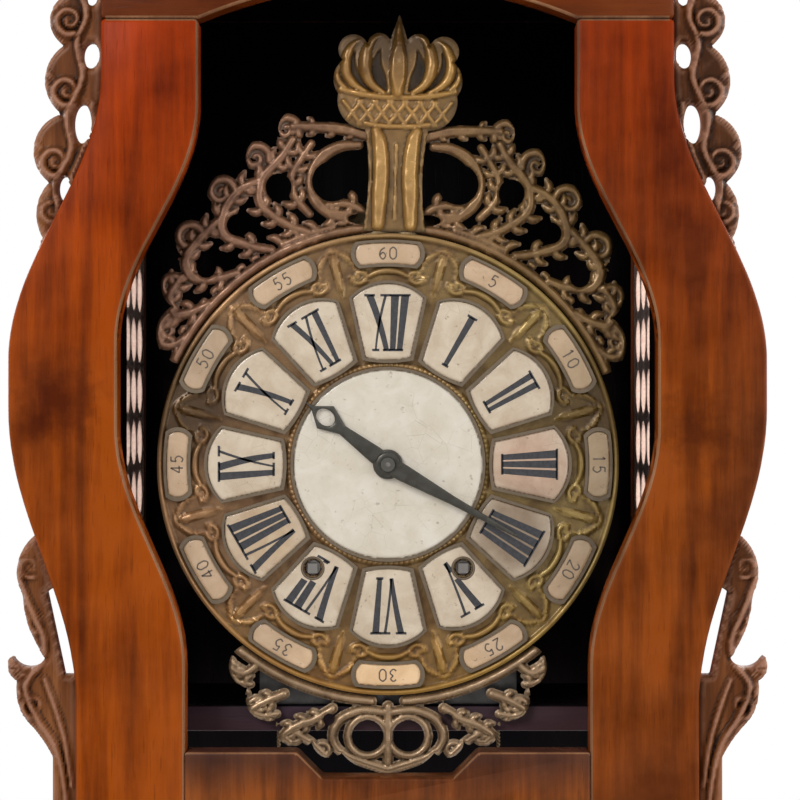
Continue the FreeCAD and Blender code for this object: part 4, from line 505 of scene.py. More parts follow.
def relief_dirt_group():
    """Masks of the dirt that lies low in a cast piece's relief, and of the black in its deepest places."""
    tree, given, out = start_group(
        "relief_dirt", [("Level", "value", 0.5), ("Low", "value", 0.1), ("High", "value", 0.7)],
        [("Dirt", "value"), ("Black", "value")])
    level = maths(tree, "MULTIPLY_ADD", noise(tree, object_place(tree), 120, 4, 0.6), 0.16, given["Level"])
    tree.links.new(spread(tree, level, given["High"], given["Low"]), out["Dirt"])
    above, below = maths(tree, "ADD", given["Low"], 0.12), maths(tree, "SUBTRACT", given["Low"], 0.02)
    tree.links.new(spread(tree, level, above, below), out["Black"])
    return tree


def crazed_glaze_group():
    """Masks of the hair cracks in a glaze, which come and go, and of its brown specks."""
    tree, given, out = start_group(
        "crazed_glaze", [("Craze", "value", 0.5), ("Stain", "value", 0.5)],
        [("Cracks", "value"), ("Specks", "value")])
    place = object_place(tree)
    cells = add(tree, "ShaderNodeTexVoronoi", {"Vector": place, "Scale": 95.0, "Randomness": 1.0},
                feature="DISTANCE_TO_EDGE").outputs["Distance"]
    crack = maths(tree, "MULTIPLY", spread(tree, cells, 0.014, 0.004), given["Craze"])
    fade = spread(tree, noise(tree, place, 28, 2, 0.5), 0.5, 0.62)
    tree.links.new(maths(tree, "MULTIPLY", crack, fade), out["Cracks"])
    specks = spread(tree, noise(tree, place, 300, 3, 0.6), 0.66, 0.74)
    tree.links.new(maths(tree, "MULTIPLY", specks, given["Stain"]), out["Specks"])
    return tree


def thin_paint_group():
    """Paint or stain that lies thin and uneven, with the fine tooth of its surface."""
    tree, given, out = start_group(
        "thin_paint",
        [("Light", "colour", (0.1, 0.1, 0.1, 1)), ("Dark", "colour", (0.05, 0.05, 0.05, 1)),
         ("Scale", "value", 300.0)],
        [("Color", "colour"), ("Tooth", "value")])
    place = object_place(tree)
    cloud = noise(tree, place, given["Scale"], 5, 0.6)
    tree.links.new(mixed(tree, spread(tree, cloud, 0.35, 0.65), given["Light"], given["Dark"]), out["Color"])
    tree.links.new(noise(tree, place, maths(tree, "MULTIPLY", given["Scale"], 6.0), 3, 0.5), out["Tooth"])
    return tree


GROUPS = {tree.name: tree for tree in (
    wood_grain_group(), worn_edges_group(), patina_group(), ragged_spot_group(), height_tint_group(),
    side_tint_group(), relief_dirt_group(), crazed_glaze_group(), thin_paint_group())}


def placed(tree, name, **values):
    """Puts a group in a material. Each input takes a value, or another node's output."""
    made = tree.nodes.new("ShaderNodeGroup")
    made.node_tree = GROUPS[name]
    for label, value in values.items():
        socket = made.inputs[label.replace("_", " ")]
        if isinstance(value, bpy.types.NodeSocket):
            tree.links.new(value, socket)
        else:
            socket.default_value = value
    return made.outputs


def start_finish(name, **shader):
    """A material, its nodes and its shader's sockets, of which some have a value."""
    material = bpy.data.materials.new(name)
    material.use_nodes = True
    tree = material.node_tree
    surface = tree.nodes["Principled BSDF"]
    for label, value in shader.items():
        surface.inputs[label.replace("_", " ")].default_value = value
    return material, tree, surface.inputs


def close_finish(tree, surface, colour, rough, height, bump, distance):
    """Joins what changes over the surface to the shader."""
    tree.links.new(colour, surface["Base Color"])
    tree.links.new(rough, surface["Roughness"])
    made = add(tree, "ShaderNodeBump", {"Strength": bump, "Distance": distance, "Height": height})
    tree.links.new(made.outputs[0], surface["Normal"])


UPRIGHT = (1.0, 1.0, 0.07)
ACROSS = (0.07, 1.0, 1.0)


def opaque(colour, share=1.0):
    """A colour times a share, or times a share for each of red, green and blue."""
    shares = share if isinstance(share, tuple) else (share, share, share)
    return (*(value * part for value, part in zip(colour, shares)), 1)


def height_tint(tree, colour, rise):
    """rise is the tint of the lower and of the upper end, and the heights between which it changes."""
    low_tint, high_tint, low, high = rise
    return placed(tree, "height_tint", Color=colour, Low_Tint=opaque(low_tint), High_Tint=opaque(high_tint),
                  Low=DIAL_Z + low * MM, High=DIAL_Z + high * MM)["Color"]


def painted_spots(tree, colour, spots):
    """Paints shade and light round some places: multiplies a colour by a tint there, below 1 for shade and above 1
    for light. spots are (place, radius, tint).
    """
    for spot, radius, tint in spots:
        mask = placed(tree, "ragged_spot", Place=spot, Radius=radius)["Mask"]
        colour = mixed(tree, mask, colour, opaque(tint), "MULTIPLY")
    return colour


def polished_wood(name, stretch, light, middle, dark, figure=1.0, wear=0.5, dirt=0.6, knots=(), coat=0.02, gloss=0.08,
                  rise=None):
    """Old shellacked wood. knots are (place, radius, share) where the grain turns dark, and rise is the tint of its
    lower and its upper end, with the heights about the dial's centre between which the tint changes."""
    material, tree, surface = start_finish(name, Coat_Weight=coat, Coat_Roughness=0.3, Specular_IOR_Level=gloss)
    grain = placed(tree, "wood_grain", Stretch=stretch, Light=opaque(light), Middle=opaque(middle),
                   Dark=opaque(dark), Figure=figure)
    edges = placed(tree, "worn_edges", Wear=wear, Dirt=dirt, Scale=55.0)
    rubbed = (light[0] * 1.5, light[1] * 2.0, light[2] * 3.0 + 0.02, 1)
    colour = mixed(tree, edges["Edges"], grain["Color"], rubbed)
    colour = mixed(tree, edges["Hollows"], colour, opaque(dark, (0.3, 0.3, 0.4)))
    if rise is not None:
        colour = height_tint(tree, colour, rise)
    for spot, radius, share in knots:
        mask = placed(tree, "ragged_spot", Place=spot, Radius=radius, Scale=90.0, Detail=4.0, Ragged=1.6, Outer=1.9,
                      Inner=0.9)["Mask"]
        colour = mixed(tree, maths(tree, "MULTIPLY", mask, share), colour, opaque(dark, (0.7, 0.6, 0.8)))
    close_finish(tree, surface, colour, grain["Roughness"], grain["Height"], 0.35, 0.0004)
    return material


def old_metal(name, bright, tarnish, cover, scale=60.0, scratches=0.4, metallic=1.0, relief=None, tints=None,
              rise=None, light_and_shade_spots=()):
    """Metal with patina. relief is (low, high): the share of a cast piece's height over which the dirt clears,
    tints are those of its left and its right side, a painted highlight and painted shade; rise is as for the wood;
    and the spots, (place, radius, tint), paint shade and light round some places."""
    material, tree, surface = start_finish(name, Metallic=metallic)
    skin = placed(tree, "patina", Bright=opaque(bright), Tarnish=opaque(tarnish), Cover=cover, Scale=scale,
                  Scratches=scratches)
    edges = placed(tree, "worn_edges", Wear=0.6, Dirt=0.7, Scale=140.0)
    rubbed = tuple(min(1.0, value * 1.25 + 0.03) for value in bright)
    colour = mixed(tree, edges["Edges"], skin["Color"], opaque(rubbed))
    # Painted light: a highlight tint on the left side and a shade tint on the right side
    if tints is not None:
        colour = placed(tree, "side_tint", Color=colour, Left_Tint=opaque(tints[0]),
                        Right_Tint=opaque(tints[1]))["Color"]
    if rise is not None:
        colour = height_tint(tree, colour, rise)
    # Painted shade and light round the given spots
    colour = painted_spots(tree, colour, light_and_shade_spots)
    rough = skin["Roughness"]
    if relief is not None:
        level = add(tree, "ShaderNodeAttribute", attribute_name="relief").outputs["Fac"]
        low = placed(tree, "relief_dirt", Level=level, Low=relief[0], High=relief[1])
        colour = mixed(tree, low["Dirt"], colour, opaque(tarnish, 0.16))
        colour = mixed(tree, low["Black"], colour, opaque(tarnish, 0.05))
        rough = maths(tree, "MAXIMUM", rough, maths(tree, "MULTIPLY", low["Dirt"], 0.75))
    colour = mixed(tree, edges["Hollows"], colour, opaque(tarnish, 0.2))
    close_finish(tree, surface, colour, rough, skin["Height"], 0.25, 0.0005)
    return material


def glazed_enamel(name, light, shade, craze=0.5, stain=0.5, light_and_shade_spots=()):
    """White enamel gone cream, with hair cracks and brown specks. Its spots, (place, radius, tint), paint shade and
    light round larger places.
    """
    material, tree, surface = start_finish(name, Coat_Weight=0.6, Coat_Roughness=0.08, Specular_IOR_Level=0.5)
    cloud = noise(tree, object_place(tree), 70, 5, 0.6, 0.5)
    glaze = placed(tree, "crazed_glaze", Craze=craze, Stain=stain)
    edges = placed(tree, "worn_edges", Wear=0.0, Dirt=stain, Scale=200.0)
    colour = mixed(tree, spread(tree, cloud, 0.35, 0.7), opaque(light), opaque(shade))
    # Painted shade and light round the given spots
    colour = painted_spots(tree, colour, light_and_shade_spots)
    colour = mixed(tree, maths(tree, "MULTIPLY", glaze["Cracks"], 0.5), colour, (0.16, 0.11, 0.06, 1))
    colour = mixed(tree, glaze["Specks"], colour, (0.2, 0.13, 0.06, 1))
    colour = mixed(tree, edges["Hollows"], colour, (0.12, 0.07, 0.03, 1))
    rough = spread(tree, cloud, 0.3, 0.7, 0.16, 0.3)
    close_finish(tree, surface, colour, rough, maths(tree, "SUBTRACT", cloud, glaze["Cracks"]), 0.12, 0.0003)
    return material


def matt_paint(name, light, dark, scale, rough):
    """Paint or stain with no shine of its own. rough is its least and its greatest roughness."""
    material, tree, surface = start_finish(name)
    paint = placed(tree, "thin_paint", Light=opaque(light), Dark=opaque(dark), Scale=scale)
    close_finish(tree, surface, paint["Color"], spread(tree, paint["Tooth"], 0.3, 0.7, *rough), paint["Tooth"], 0.2,
                 0.0002)
    return material


# The front frame is redder towards its top
RED_TOP = ((1.0, 1.1, 1.0), (1.1, 0.58, 0.3), 20, 240)
frame_finish = polished_wood("frame_orange_wood", UPRIGHT, (0.335, 0.056, 0.002), (0.205, 0.031, 0.001),
                             (0.09, 0.012, 0.0005), 1.2, rise=RED_TOP, gloss=0.05, coat=0.01,
                             knots=[(row(-171, 192, 35), 0.024, 0.8), (row(-186, 192, 20), 0.012, 0.5)])
# The right stile's copy of the frame wood is darker: painted shade, as the light falls from the left
shaded_right_frame_finish = polished_wood("right_frame_wood_painted_shade", UPRIGHT, (0.285, 0.053, 0.004), (0.17, 0.03, 0.002),
                                   (0.075, 0.012, 0.001), 1.25, rise=RED_TOP, gloss=0.05, coat=0.01,
                                   knots=[(row(163, 192, 19), 0.022, 0.7), (row(168, 192, -28), 0.014, 0.4)])
# Pale greyish-pink edge round the door's opening: partly wear, partly a painted sheen
bevel_finish = polished_wood("frame_edge_wear_and_sheen", UPRIGHT, (0.36, 0.17, 0.08), (0.24, 0.105, 0.045),
                             (0.12, 0.045, 0.018), wear=0.12, dirt=0.3, coat=0.0, gloss=0.03)
# The rail turns darker towards its top: painted shadow under the dial
rail_finish = polished_wood("rail_brown_wood", UPRIGHT, (0.26, 0.066, 0.01), (0.13, 0.03, 0.004),
                            (0.05, 0.011, 0.002), 1.4, rise=((1.05, 1.0, 0.9), (0.42, 0.5, 0.9), -172, -154))
# The arch rail turns darker along its lower edge: painted shade
arch_finish = polished_wood("arch_orange_wood", ACROSS, (0.33, 0.055, 0.004), (0.2, 0.03, 0.002),
                            (0.09, 0.013, 0.001), 1.1, rise=((0.45, 0.5, 0.5), (1.0, 1.0, 1.0), 240, 262))
carved_finish = polished_wood("carved_wood", UPRIGHT, (0.27, 0.1, 0.035), (0.14, 0.043, 0.012), (0.05, 0.017, 0.006),
                              1.1, wear=0.9, dirt=1.0)
case_finish = polished_wood("case_brown_wood", UPRIGHT, (0.24, 0.055, 0.01), (0.125, 0.028, 0.005),
                            (0.045, 0.01, 0.002), 1.3)
roof_finish = polished_wood("roof_brown_wood", ACROSS, (0.21, 0.05, 0.01), (0.12, 0.028, 0.005),
                            (0.05, 0.012, 0.002), 1.0)
# Near-black for the faces inside the case: painted shade of the case's dark inside
inside_shade_finish = polished_wood("inside_painted_shade", UPRIGHT, (0.006, 0.0035, 0.0025), (0.003, 0.002, 0.0015),
                              (0.001, 0.001, 0.001), 1.0, wear=0.1, coat=0.0, gloss=0.05)
# The seat board is near black: painted shade, so that it reads black through the lower fret's rings
shelf_finish = polished_wood("shelf_wood_painted_shade", ACROSS, (0.07, 0.032, 0.024), (0.035, 0.017, 0.012),
                             (0.014, 0.006, 0.005), 1.0, wear=0.4, coat=0.0)
lattice_finish = polished_wood("fret_dark_wood", UPRIGHT, (0.1, 0.04, 0.018), (0.05, 0.02, 0.008),
                               (0.02, 0.008, 0.003), 1.0, wear=0.6)
# Tints paint a highlight on the fret's left side and shade on its right side
cast_finish = old_metal("cast_gilt_brass", (0.3, 0.18, 0.085), (0.12, 0.062, 0.026), 0.5, 75.0, relief=(0.1, 0.7),
                        metallic=0.35, tints=((0.9, 0.74, 0.86), (0.74, 0.7, 0.5)))
low_fret_finish = old_metal("low_fret_gilt_brass", (0.34, 0.22, 0.12), (0.13, 0.075, 0.035), 0.45, 75.0,
                            relief=(0.1, 0.7), metallic=0.4)
# The crown's tints paint a highlight on its left and shade on its right, and its spot paints shade over its top
crown_finish = old_metal("crown_gilt_brass", (0.44, 0.265, 0.11), (0.22, 0.12, 0.042), 0.45, 70.0,
                         relief=(0.16, 0.62), metallic=0.3, tints=((1.05, 0.92, 0.86), (0.9, 0.98, 0.62)),
                         rise=((1.04, 1.0, 0.9), (0.9, 0.8, 0.64), 168, 184),
                         light_and_shade_spots=[(row(0, 158, 242), 0.044, (0.32, 0.3, 0.28))])
# The plate's tints paint a highlight on its left and shade on its right, and its spots paint shade at the dial's two
# sides
plate_finish = old_metal("pressed_brass_plate", (0.32, 0.19, 0.08), (0.17, 0.085, 0.03), 0.5, 80.0,
                         relief=(-0.5, 0.35), metallic=0.35, tints=((1.0, 0.9, 0.85), (0.88, 1.0, 0.66)),
                         rise=((1.15, 1.0, 0.52), (1.06, 1.04, 1.05), -118, -60),
                         light_and_shade_spots=[(row(-114, 152, 38), 0.05, (0.28, 0.26, 0.15)),
                                 (row(114, 152, 36), 0.046, (0.44, 0.38, 0.24))])
rim_finish = old_metal("rim_dark_brass", (0.14, 0.1, 0.06), (0.04, 0.027, 0.016), 0.6, 150.0, metallic=0.5)
# Near-black iron for the front plate behind the dial: painted shade
shadow_iron_finish = old_metal("iron_painted_shade", (0.035, 0.03, 0.027), (0.02, 0.014, 0.011), 0.5, 80.0, 0.2,
                               metallic=0.3)
train_finish = old_metal("train_brass", (0.62, 0.42, 0.17), (0.3, 0.17, 0.06), 0.4, 90.0, 0.6)
hinge_finish = old_metal("hinge_brass", (0.5, 0.33, 0.13), (0.2, 0.11, 0.04), 0.5, 120.0, 0.6)
weight_finish = old_metal("polished_brass", (0.62, 0.45, 0.22), (0.34, 0.22, 0.1), 0.45, 40.0, 0.5)
bell_finish = old_metal("bell_bronze", (0.5, 0.36, 0.2), (0.2, 0.13, 0.07), 0.45, 60.0, 0.4)
iron_finish = old_metal("movement_iron", (0.17, 0.16, 0.15), (0.07, 0.045, 0.032), 0.5, 80.0, 0.5)
hand_finish = old_metal("dark_hand_iron", (0.06, 0.056, 0.045), (0.028, 0.024, 0.018), 0.5, 160.0, 0.3,
                        metallic=0.5)
disc_finish = glazed_enamel("disc_enamel", (0.8, 0.735, 0.63), (0.68, 0.6, 0.47))
# The hour plaques' spots paint shade round 4, 3 and 8 o'clock
hour_enamel = glazed_enamel("hour_enamel", (0.73, 0.61, 0.46), (0.55, 0.42, 0.29), 0.5, 0.6,
                            [(row(68, 155, -37), 0.032, (0.42, 0.36, 0.3)),
                             (row(77, 155, 0), 0.03, (0.86, 0.7, 0.66)),
                             (row(-67, 155, -38), 0.03, (0.84, 0.74, 0.62))])
# The minute plaques' spots paint shade at 3 and at 10 o'clock and light on the plaque at 6 o'clock
minute_enamel = glazed_enamel("minute_enamel", (0.66, 0.46, 0.29), (0.52, 0.34, 0.19), 0.4, 0.7,
                              [(row(118, 155, 0), 0.09, (0.72, 0.74, 0.68)),
                               (row(-105, 155, 62), 0.03, (0.8, 0.82, 0.84)),
                               (row(0, 155, -118), 0.06, (1.5, 1.45, 1.3))])
digit_paint = matt_paint("digit_brown", (0.16, 0.12, 0.09), (0.08, 0.06, 0.045), 500.0, (0.3, 0.5))
numeral_paint = matt_paint("numeral_grey_black", (0.04, 0.039, 0.046), (0.018, 0.017, 0.019), 500.0, (0.3, 0.5))
gut_finish = matt_paint("twisted_gut", (0.42, 0.3, 0.16), (0.24, 0.15, 0.07), 300.0, (0.35, 0.6))


# The dial

WINDING_X, WINDING_Z, WINDING_RADIUS = 40.49, -55.99, 5.0
BUSH_RADIUS = 6.4


def around(radius, turn):
    """The point at a radius and a turn in degrees, clockwise from 12."""
    return radius * math.sin(math.radians(turn)), radius * math.cos(math.radians(turn))


def smoothstep(value, low, high):
    """0 below low, 1 above high and an eased rise between them."""
    share = np.clip((value - low) / (high - low), 0, 1)
    return share * share * (3 - 2 * share)


WAVES = 6


def ripple(x, z, seed, size):
    """Slow seeded unevenness between -1 and 1, for surfaces that were cast or worked by hand."""
    chance = np.random.default_rng(seed)
    total = np.zeros(x.shape)
    for _ in range(WAVES):
        angle, phase, scale = chance.uniform(0, math.tau), chance.uniform(0, math.tau), chance.uniform(0.6, 1.7)
        total += np.sin((x * math.cos(angle) + z * math.sin(angle)) * scale / size + phase)
    return total / WAVES


PLATE_RADIUS, CENTRE_HOLE = 125.0, 6.5
PRESSED_DEEP, LEAST_THICK = 2.2, 1.6
# Ring, half width and height of the row of beads and of the raised border
BEADS = (53.5, 1.6, 1.3)
BORDER = (123.2, 1.75, 2.15)
PRESSED_FROM, PRESSED_TO = 54, 123
# Grid step: millimetres outwards, degrees round
PLATE_STEP = 0.75


def plate_strokes():
    """Between each two hours a palmette with a leaf and a scroll at each side, and a swag under each hour."""
    strokes = []
    for hour in range(12):
        here, between = 30 * hour, 30 * hour + 15
        for side in (-1, 1):
            turn = between + side * 6.5
            strokes.append(spiral(*around(102.5, turn), 90 - turn + side * 90, side * 1.2, 4.6, 0.9, 1.5, 0.8))
            leaf = ((106, side * 5.5, 0.7), (112, side * 4.5, 1.5), (117.5, side * 1.5, 1.1), (120.5, 0, 0.6))
            strokes.append([(*around(radius, between + off), half) for radius, off, half in leaf])
        palmette = ((93, 0.6), (99, 1.6), (110, 2.3), (119, 1.2))
        strokes.append([(*around(radius, between), half) for radius, half in palmette])
        swag = ((100, -8, 0.8), (103.4, -4, 1.5), (104.4, 0, 1.9), (103.4, 4, 1.5), (100, 8, 0.8))
        strokes.append([(*around(radius, here + off), half) for radius, off, half in swag])
    return strokes


def round_ridge(radius, ring, half, high):
    """Height of a ridge with a round back that runs along a ring."""
    return np.sqrt(np.clip(1 - ((radius - ring) / half) ** 2, 0, 1)) * high


def embossed_plate():
    """The brass plate between the cartouches: a pressed pattern of scrolls and beads, closed at the back."""
    back, front = depths("dial_plate")
    ground = front - PRESSED_DEEP
    rings = np.concatenate([[CENTRE_HOLE, CENTRE_HOLE + 0.6, 30.0], np.arange(48.0, PLATE_RADIUS + 0.01, PLATE_STEP)])
    turns = np.radians(np.arange(0, 360, PLATE_STEP))
    radius, turn = np.meshgrid(rings, turns, indexing="ij")
    x, z = radius * np.sin(turn), radius * np.cos(turn)
    high = np.full(x.shape, ground)
    strip = (radius > PRESSED_FROM) & (radius < PRESSED_TO)
    _, tall = stroke_fields(x[strip], z[strip], plate_strokes(), 3)
    high[strip] += np.minimum(tall * 1.15, PRESSED_DEEP - 0.1)
    dots = np.abs(np.sin(turn * 60)) * 0.5 + 0.5
    high = np.maximum(high, ground + round_ridge(radius, *BEADS) * dots)
    high = np.maximum(high, ground + round_ridge(radius, *BORDER))
    high += ripple(x, z, 5, 2.6) * 0.1 * strip
    high = np.clip(high, back + LEAST_THICK, front)
    verts = [row(*place) for place in zip(x.flat, high.flat, z.flat)]
    total = len(verts)
    verts.extend(row(px, back, pz) for px, pz in zip(x.flat, z.flat))
    marks = np.concatenate([((high - ground) / PRESSED_DEEP).ravel(), np.zeros(total)])
    hole = np.minimum(np.hypot(x - WINDING_X, z - WINDING_Z), np.hypot(x + WINDING_X, z - WINDING_Z))
    away = np.maximum(hole[:-1], hole[1:])
    kept = np.maximum(away, np.roll(away, -1, 1)) > WINDING_RADIUS
    count = len(turns)
    faces, edges = [], []
    for i, j in np.argwhere(kept).tolist():
        k = (j + 1) % count
        a, b, c, d = i * count + j, (i + 1) * count + j, (i + 1) * count + k, i * count + k
        faces.append((a, d, c, b))
        faces.append((a + total, b + total, c + total, d + total))
        edges.extend(((a, d), (d, c), (c, b), (b, a)))
    known = set(edges)
    faces.extend((second, first, first + total, second + total) for first, second in edges
                 if (second, first) not in known)
    return new_piece("dial_plate_embossed", verts, faces, "root", plate_finish, ("dial_plate",), 50,
                     marks)


def domed_tiles(name, node, finish, dome, edge, spacing):
    """Enamel plaques with a low dome and a rounded rim."""
    def shape(x, z, reach, back, front):
        height = shoulder(reach, edge, dome)
        return reach, np.clip(front - dome + height + ripple(x, z, 3, 6.0) * 0.03, back + 0.2, front)

    return carved_piece(name, node, spacing, shape, finish, crease=60)


NUMERALS = {1: "I", 2: "II", 3: "III", 4: "IIII", 5: "V", 6: "VI", 7: "VII", 8: "VIII", 9: "IX", 10: "X", 11: "XI",
            12: "XII"}
LETTER_WIDE = {"I": 4.6, "V": 11.0, "X": 11.0}
LETTER_LOW, LETTER_HIGH = 61.5, 91.0
LETTER_TALL = LETTER_HIGH - LETTER_LOW
WIDEST_NUMERAL = 25.0
# Hours whose thick strokes are painted thinner
NUMERAL_WEIGHT = {1: 0.85, 2: 0.78, 6: 0.86, 10: 0.9, 11: 0.82}
# Widths of the strokes, at their lower and their upper end
STEM = (3.6, 3.6)
V_THICK, V_THIN = (3.1, 3.3), (1.3, 1.2)
X_THICK, X_THIN = (3.3, 3.3), (1.2, 1.2)
SERIF, SERIF_REACH = (1.3, 1.3), 2.4
ARM_INSET = 1.9
NUMERAL_SLICES = 20
PAINT_THICK = 0.7


def bar(corners, wide_low, wide_high):
    """A painted stroke from one point to another with its own width at each end."""
    (x0, z0), (x1, z1) = corners
    long = math.hypot(x1 - x0, z1 - z0)
    nx, nz = -(z1 - z0) / long, (x1 - x0) / long
    return [(x0 + nx * wide_low / 2, z0 + nz * wide_low / 2), (x0 - nx * wide_low / 2, z0 - nz * wide_low / 2),
            (x1 - nx * wide_high / 2, z1 - nz * wide_high / 2), (x1 + nx * wide_high / 2, z1 + nz * wide_high / 2)]


def roman_strokes(text, weight):
    """Outlines of a Roman numeral with its middle at zero: thick and thin strokes with serifs."""
    shapes = []
    at = -sum(LETTER_WIDE[letter] for letter in text) / 2

    def stroke(low, high, widths, share=1.0):
        shapes.append(bar((low, high), widths[0] * share, widths[1] * share))

    for letter in text:
        wide = LETTER_WIDE[letter]
        middle, left, right = at + wide / 2, at + ARM_INSET, at + wide - ARM_INSET
        if letter == "I":
            stroke((middle, 0.0), (middle, LETTER_TALL), STEM, weight)
            ends = (middle,)
        elif letter == "V":
            stroke((middle, 0.0), (left, LETTER_TALL), V_THICK, weight)
            stroke((middle, 0.0), (right, LETTER_TALL), V_THIN)
            ends = (left, right)
        else:
            stroke((right, 0.0), (left, LETTER_TALL), X_THICK, weight)
            stroke((left, 0.0), (right, LETTER_TALL), X_THIN)
            ends = (left, right)
        for end in ends:
            for height in ((LETTER_TALL,) if letter == "V" else (LETTER_TALL, 0.0)):
                stroke((end - SERIF_REACH, height), (end + SERIF_REACH, height), SERIF)
        at += wide
    return shapes


def thin_prisms(name, outlines, back, front, body, finish):
    """Closed thin solids over flat outlines, such as painted strokes. The outlines are lists of (x, z)."""
    verts, faces = [], []
    for outline in outlines:
        area = sum(a[0] * b[1] - b[0] * a[1] for a, b in zip(outline, outline[1:] + outline[:1]))
        ring = outline if area < 0 else outline[::-1]
        base, many = len(verts), len(ring)
        verts.extend(row(x, front, z) for x, z in ring)
        verts.extend(row(x, back, z) for x, z in ring)
        faces.append(tuple(base + k for k in reversed(range(many))))
        faces.append(tuple(base + many + k for k in range(many)))
        for k in range(many):
            other = (k + 1) % many
            faces.append((base + k, base + other, base + many + other, base + many + k))
    return new_piece(name, verts, faces, body, finish, crease=20)


def hour_numerals():
    """Roman numerals that widen outwards, cut into slices so that their strokes stop at the winding holes."""
    _, front = depths("hour_cartouches")
    outlines = []
    for hour, text in NUMERALS.items():
        turn = math.radians(30 * hour)
        squeeze = min(1.0, WIDEST_NUMERAL / sum(LETTER_WIDE[letter] for letter in text))
        for low_left, low_right, high_right, high_left in roman_strokes(text, NUMERAL_WEIGHT.get(hour, 1.0)):
            left, right = [], []
            for step in range(NUMERAL_SLICES + 2):
                share = step / NUMERAL_SLICES
                ends = []
                for (ax, az), (bx, bz) in ((low_left, high_left), (low_right, high_right)):
                    x, z = ax + (bx - ax) * share, az + (bz - az) * share
                    radius = LETTER_LOW + z
                    across = x * squeeze * (0.8 + 0.4 * z / LETTER_TALL)
                    ends.append((across * math.cos(turn) + radius * math.sin(turn),
                                 -across * math.sin(turn) + radius * math.cos(turn)))
                middle = [(a + b) / 2 for a, b in zip(*ends)]
                at_hole = min(math.dist(middle, (side * WINDING_X, WINDING_Z)) for side in (-1, 1)) < BUSH_RADIUS
                if step <= NUMERAL_SLICES and not at_hole:
                    left.append(ends[0])
                    right.append(ends[1])
                elif left:
                    if len(left) > 1:
                        outlines.append(left + right[::-1])
                    left, right = [], []
    return thin_prisms("hour_numerals", outlines, front - PAINT_THICK, front + 0.12, "root", numeral_paint)


# Strokes of the digits, in shares of a digit's width and height
DIGIT_SHARES = {
    "0": [[(0.5, 1.0), (0.12, 0.8), (0.08, 0.5), (0.12, 0.2), (0.5, 0.0), (0.88, 0.2), (0.92, 0.5), (0.88, 0.8),
           (0.5, 1.0)]],
    "1": [[(0.25, 0.8), (0.5, 1.0)], [(0.5, 1.0), (0.5, 0.0)]],
    "2": [[(0.1, 0.75), (0.3, 0.98), (0.7, 0.98), (0.88, 0.72), (0.6, 0.4), (0.1, 0.02)], [(0.1, 0.02), (0.9, 0.02)]],
    "3": [[(0.12, 0.85), (0.45, 1.0), (0.82, 0.8), (0.5, 0.54)], [(0.5, 0.54), (0.9, 0.3), (0.5, 0.0), (0.1, 0.15)]],
    "4": [[(0.68, 0.0), (0.68, 1.0)], [(0.68, 1.0), (0.08, 0.3)], [(0.08, 0.3), (0.92, 0.3)]],
    "5": [[(0.82, 0.98), (0.25, 0.98)], [(0.25, 0.98), (0.18, 0.56)],
          [(0.18, 0.56), (0.55, 0.64), (0.88, 0.34), (0.5, 0.0), (0.12, 0.12)]],
    "6": [[(0.78, 0.95), (0.3, 0.75), (0.1, 0.35), (0.5, 0.0), (0.88, 0.28), (0.55, 0.56), (0.14, 0.36)]]}
MINUTE_MIDDLE = 113.75
DIGIT_TALL, DIGIT_WIDE, DIGIT_GAP, DIGIT_STROKE = 6.6, 4.2, 1.4, 0.75
LEAST_STROKE = 0.02


def minute_digits():
    """The numbers 5 to 60 on the small outer plaques, as thin painted strokes."""
    _, front = depths("minute_cartouches")
    outlines = []
    for place in range(1, 13):
        text = str(place * 5)
        turn = math.radians(30 * place)
        at = -(len(text) * DIGIT_WIDE + (len(text) - 1) * DIGIT_GAP) / 2
        for digit in text:
            for stroke in DIGIT_SHARES[digit]:
                run = smooth_run([(x, z, 0) for x, z in stroke], 3)
                for (ax, az, _), (bx, bz, _) in zip(run, run[1:]):
                    ends = [(at + px * DIGIT_WIDE, (pz - 0.5) * DIGIT_TALL) for px, pz in ((ax, az), (bx, bz))]
                    if math.dist(*ends) < LEAST_STROKE:
                        continue
                    outlines.append([(px * math.cos(turn) + (MINUTE_MIDDLE + pz) * math.sin(turn),
                                      -px * math.sin(turn) + (MINUTE_MIDDLE + pz) * math.cos(turn))
                                     for px, pz in bar(ends, DIGIT_STROKE, DIGIT_STROKE)])
            at += DIGIT_WIDE + DIGIT_GAP
    return thin_prisms("minute_digits", outlines, front - 0.5, front + 0.1, "root", digit_paint)


def turned_ring(name, profile, x, z, body, finish, turns):
    """A turned ring whose axis points to the front: profile is a closed loop of (radius, depth)."""
    verts, faces = [], []
    for radius, depth in profile:
        for step in range(turns):
            angle = math.tau * step / turns
            verts.append(row(x + math.cos(angle) * radius, depth, z + math.sin(angle) * radius))
    for low in range(len(profile) - 1):
        for step in range(turns):
            a, b = low * turns + step, low * turns + (step + 1) % turns
            faces.append((a, b, b + turns, a + turns))
    return new_piece(name, verts, faces, body, finish, crease=35)


def winding_bushes():
    """Turned brass eyes round the two winding holes."""
    _, front = depths("hour_cartouches")
    bore, low = WINDING_RADIUS, front - 4.0
    profile = [(bore, low), (BUSH_RADIUS, low), (BUSH_RADIUS, front + 0.1), (6.0, front + 0.45),
               (5.3, front + 0.35), (bore, front - 0.1), (bore, low)]
    for side, word in ((-1, "left"), (1, "right")):
        turned_ring("winding_bush_" + word, profile, side * WINDING_X, WINDING_Z, "root", rim_finish,
                    40)


embossed_plate()
domed_tiles("centre_disc_enamel", "centre_disc", disc_finish, 0.8, 2.2, 0.9)
domed_tiles("hour_cartouches_enamel", "hour_cartouches", hour_enamel, 0.9, 2.4, 0.6)
domed_tiles("minute_cartouches_enamel", "minute_cartouches", minute_enamel, 0.7, 2.0, 0.4)
hour_numerals()
minute_digits()
winding_bushes()


# Cast frets and carved wings: scrolls, leaves and beads laid out as strokes of (x, z, half width)

